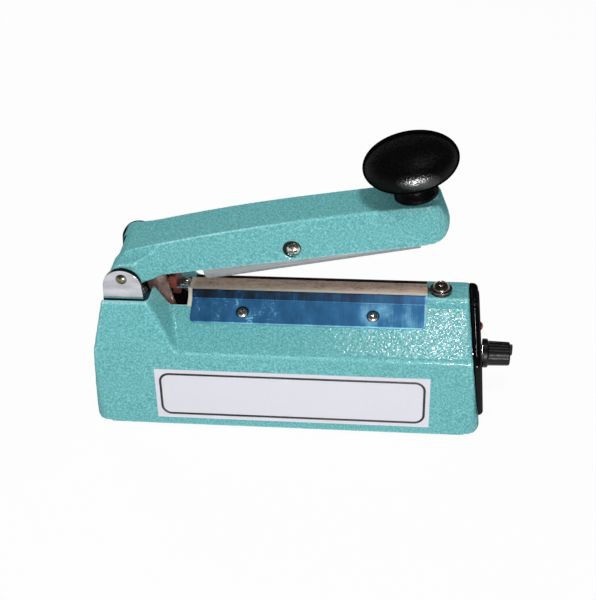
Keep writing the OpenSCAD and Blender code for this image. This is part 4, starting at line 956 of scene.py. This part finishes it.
class SEALER_OT_terminals(bpy.types.Operator):
    """Finishes the terminals at both ends of the element"""

    bl_idname = "sealer.terminals"
    bl_label = "Terminals"

    def execute(self, context):
        dress_nodes("terminal", ["right_terminal_screw", "terminal_washer"])
        dress_nodes("fibre", ["insulator_block"])
        dress_nodes("sleeve", ["terminal_bush"])
        dress_nodes("spring_steel", ["tension_leaf", "element_clamp"])
        dress_nodes("nickel", ["insulator_screw", "leaf_screw", "clamp_screw"])
        return {"FINISHED"}


class SEALER_OT_underside(bpy.types.Operator):
    """Finishes the base plate, the feet and the cord inlet"""

    bl_idname = "sealer.underside"
    bl_label = "Underside"

    def execute(self, context):
        dress_nodes("zinc", ["base_plate"], "sheet_edge")
        dress_nodes("rubber", ["rubber_feet", "cord_grommet"], "sheet_edge")
        dress_nodes("nickel", ["foot_screws", "transformer_screws", "switch_screws", "board_screws"])
        return {"FINISHED"}


class SEALER_OT_insides(bpy.types.Operator):
    """Finishes the transformer, the switch and the timer's board"""

    bl_idname = "sealer.insides"
    bl_label = "Insides"

    def execute(self, context):
        dress_nodes("core", ["transformer_core"])
        dress_nodes("coil", ["transformer_coil"])
        dress_nodes("zinc", ["transformer_strap", "switch_bracket"])
        dress_nodes("sleeve", ["micro_switch", "capacitors"])
        dress_nodes("nylon", ["switch_plunger", "board_pillars"])
        dress_nodes("board", ["timer_board"])
        dress_nodes("relay", ["relay"])
        dress_nodes("spring_steel", ["potentiometer"])
        return {"FINISHED"}


class SEALER_OT_stage(bpy.types.Operator):
    """Sets the floor, the lamps, the surroundings and the camera"""

    bl_idname = "sealer.stage"
    bl_label = "Stage"

    def execute(self, context):
        self.floor()
        self.surroundings(context.scene)
        for lamp in LAMPS:
            self.lamp(*lamp)
        self.camera(context.scene)
        context.scene.view_settings.view_transform = "Standard"
        return {"FINISHED"}

    def seen(self, tree):
        """White for what the camera, reflections and clear pieces see, and black for light on a surface."""
        path, seen = add(tree, "LightPath"), 0.0
        for ray in ("Is Camera Ray", "Is Glossy Ray", "Is Transmission Ray"):
            seen = add(tree, "Math", {0: path.outputs[ray], 1: seen}, operation="MAXIMUM").outputs[0]
        return seen

    def floor(self):
        """A wide level floor, pale under the lamps and near white to the camera, with the object's shadow."""
        reach = np.linspace(-2.5, 2.5, 9)
        across, deep = np.meshgrid(reach, reach, indexing="ij")
        floor = surface("floor", np.stack([across, deep, across * 0], axis=-1))
        material, tree, shader = begin("floor_pale_paper", Roughness=0.9, Specular_IOR_Level=0.0)
        tones(tree, shader, lumps(tree, 20 * MM), [(0.0, "#F4F4F4"), (1.0, "#FAFAFA")])
        share = add(tree, "Math", {0: self.seen(tree), 1: 0.95}, operation="MULTIPLY")
        glow = add(tree, "Emission", {"Color": (1, 1, 1, 1), "Strength": 1.0})
        both = add(tree, "MixShader", {0: share.outputs[0], 1: shader.outputs[0], 2: glow.outputs[0]})
        tree.links.new(both.outputs[0], tree.nodes["Material Output"].inputs["Surface"])
        floor.data.materials.append(material)

    def surroundings(self, scene):
        """A pale horizon under a dark ceiling, as the camera and reflections see it, and a soft grey light on
        everything else."""
        world = bpy.data.worlds.new("studio")
        world.use_nodes = True
        tree = world.node_tree
        way = add(tree, "SeparateXYZ", {"Vector": add(tree, "TexCoord").outputs["Generated"]})
        ceiling = span(tree, way.outputs["Z"], 0.02, 0.14, 0.97, 0.06)
        strength = add(tree, "Mix", {0: self.seen(tree), 2: 0.28, 3: ceiling})
        light = tree.nodes["Background"]
        light.inputs["Color"].default_value = (1, 1, 1, 1)
        tree.links.new(strength.outputs[0], light.inputs["Strength"])
        scene.world = world

    def lamp(self, name, place, size, power, glint):
        """A round soft lamp at place, turned to the middle of the sealer. It is left out of reflections, or
        gives nothing but glints, and then it lights no surface and nothing shades it."""
        data = bpy.data.lights.new(name, "AREA")
        data.shape = "DISK"
        data.size = size
        data.energy = power
        data.use_shadow = not glint
        lamp = bpy.data.objects.new(name, data)
        lamp.location = place
        lamp.visible_diffuse = not glint
        lamp.visible_glossy = glint
        lamp.rotation_euler = (Vector(LAMP_AIM) - lamp.location).to_track_quat("-Z", "Y").to_euler()
        bpy.context.scene.collection.objects.link(lamp)

    def camera(self, scene):
        """The photograph's viewpoint: a turn and a dip from level, a small roll, and the lens that fits."""
        yaw, dip, roll, focal, wide = -0.109, 0.600, 0.030, 1194.2, 596
        place = (48.83 * MM, -477.9 * MM, 382.1 * MM)
        ahead = np.array([math.sin(yaw) * math.cos(dip), math.cos(yaw) * math.cos(dip), -math.sin(dip)])
        side = np.array([math.cos(yaw), -math.sin(yaw), 0])
        down = np.cross(ahead, side)
        right = math.cos(roll) * side + math.sin(roll) * down
        up = math.sin(roll) * side - math.cos(roll) * down
        turn = Matrix(np.stack([right, up, -ahead], axis=-1).tolist()).to_4x4()
        data = bpy.data.cameras.new("camera")
        data.sensor_fit = "HORIZONTAL"
        data.sensor_width = 36
        data.lens = focal / wide * data.sensor_width
        camera = bpy.data.objects.new("camera", data)
        camera.matrix_world = Matrix.Translation(place) @ turn
        scene.collection.objects.link(camera)
        scene.camera = camera


class SEALER_PT_looks(bpy.types.Panel):
    """Lists the sealer's steps in the sidebar"""

    bl_idname = "SEALER_PT_looks"
    bl_label = "Hand bag sealer"
    bl_space_type = "VIEW_3D"
    bl_region_type = "UI"
    bl_category = "Sealer"

    def draw(self, context):
        for group in (context.scene.sealer_sizes, context.scene.sealer_colours):
            for name in group.__annotations__:
                self.layout.prop(group, name)
        for step in STEPS:
            self.layout.operator(step.bl_idname)


STEPS = (SEALER_OT_stage, SEALER_OT_castings, SEALER_OT_grip, SEALER_OT_timer, SEALER_OT_panel,
         SEALER_OT_label, SEALER_OT_hinge, SEALER_OT_press, SEALER_OT_lever, SEALER_OT_clamp_plates,
         SEALER_OT_cloth, SEALER_OT_terminals, SEALER_OT_underside, SEALER_OT_insides)
CLASSES = (SealerColours, SealerSizes, *STEPS, SEALER_PT_looks)


def register():
    """Adds the classes, and the two groups of settings to the scene."""
    for item in CLASSES:
        bpy.utils.register_class(item)
    bpy.types.Scene.sealer_colours = PointerProperty(type=SealerColours)
    bpy.types.Scene.sealer_sizes = PointerProperty(type=SealerSizes)


def unregister():
    """Takes the settings and the classes out again."""
    del bpy.types.Scene.sealer_sizes
    del bpy.types.Scene.sealer_colours
    for item in reversed(CLASSES):
        bpy.utils.unregister_class(item)


def main():
    """Runs every step in order."""
    register()
    for step in STEPS:
        group, name = step.bl_idname.split(".")
        getattr(getattr(bpy.ops, group), name)()


if __name__ == "__main__":
    main()
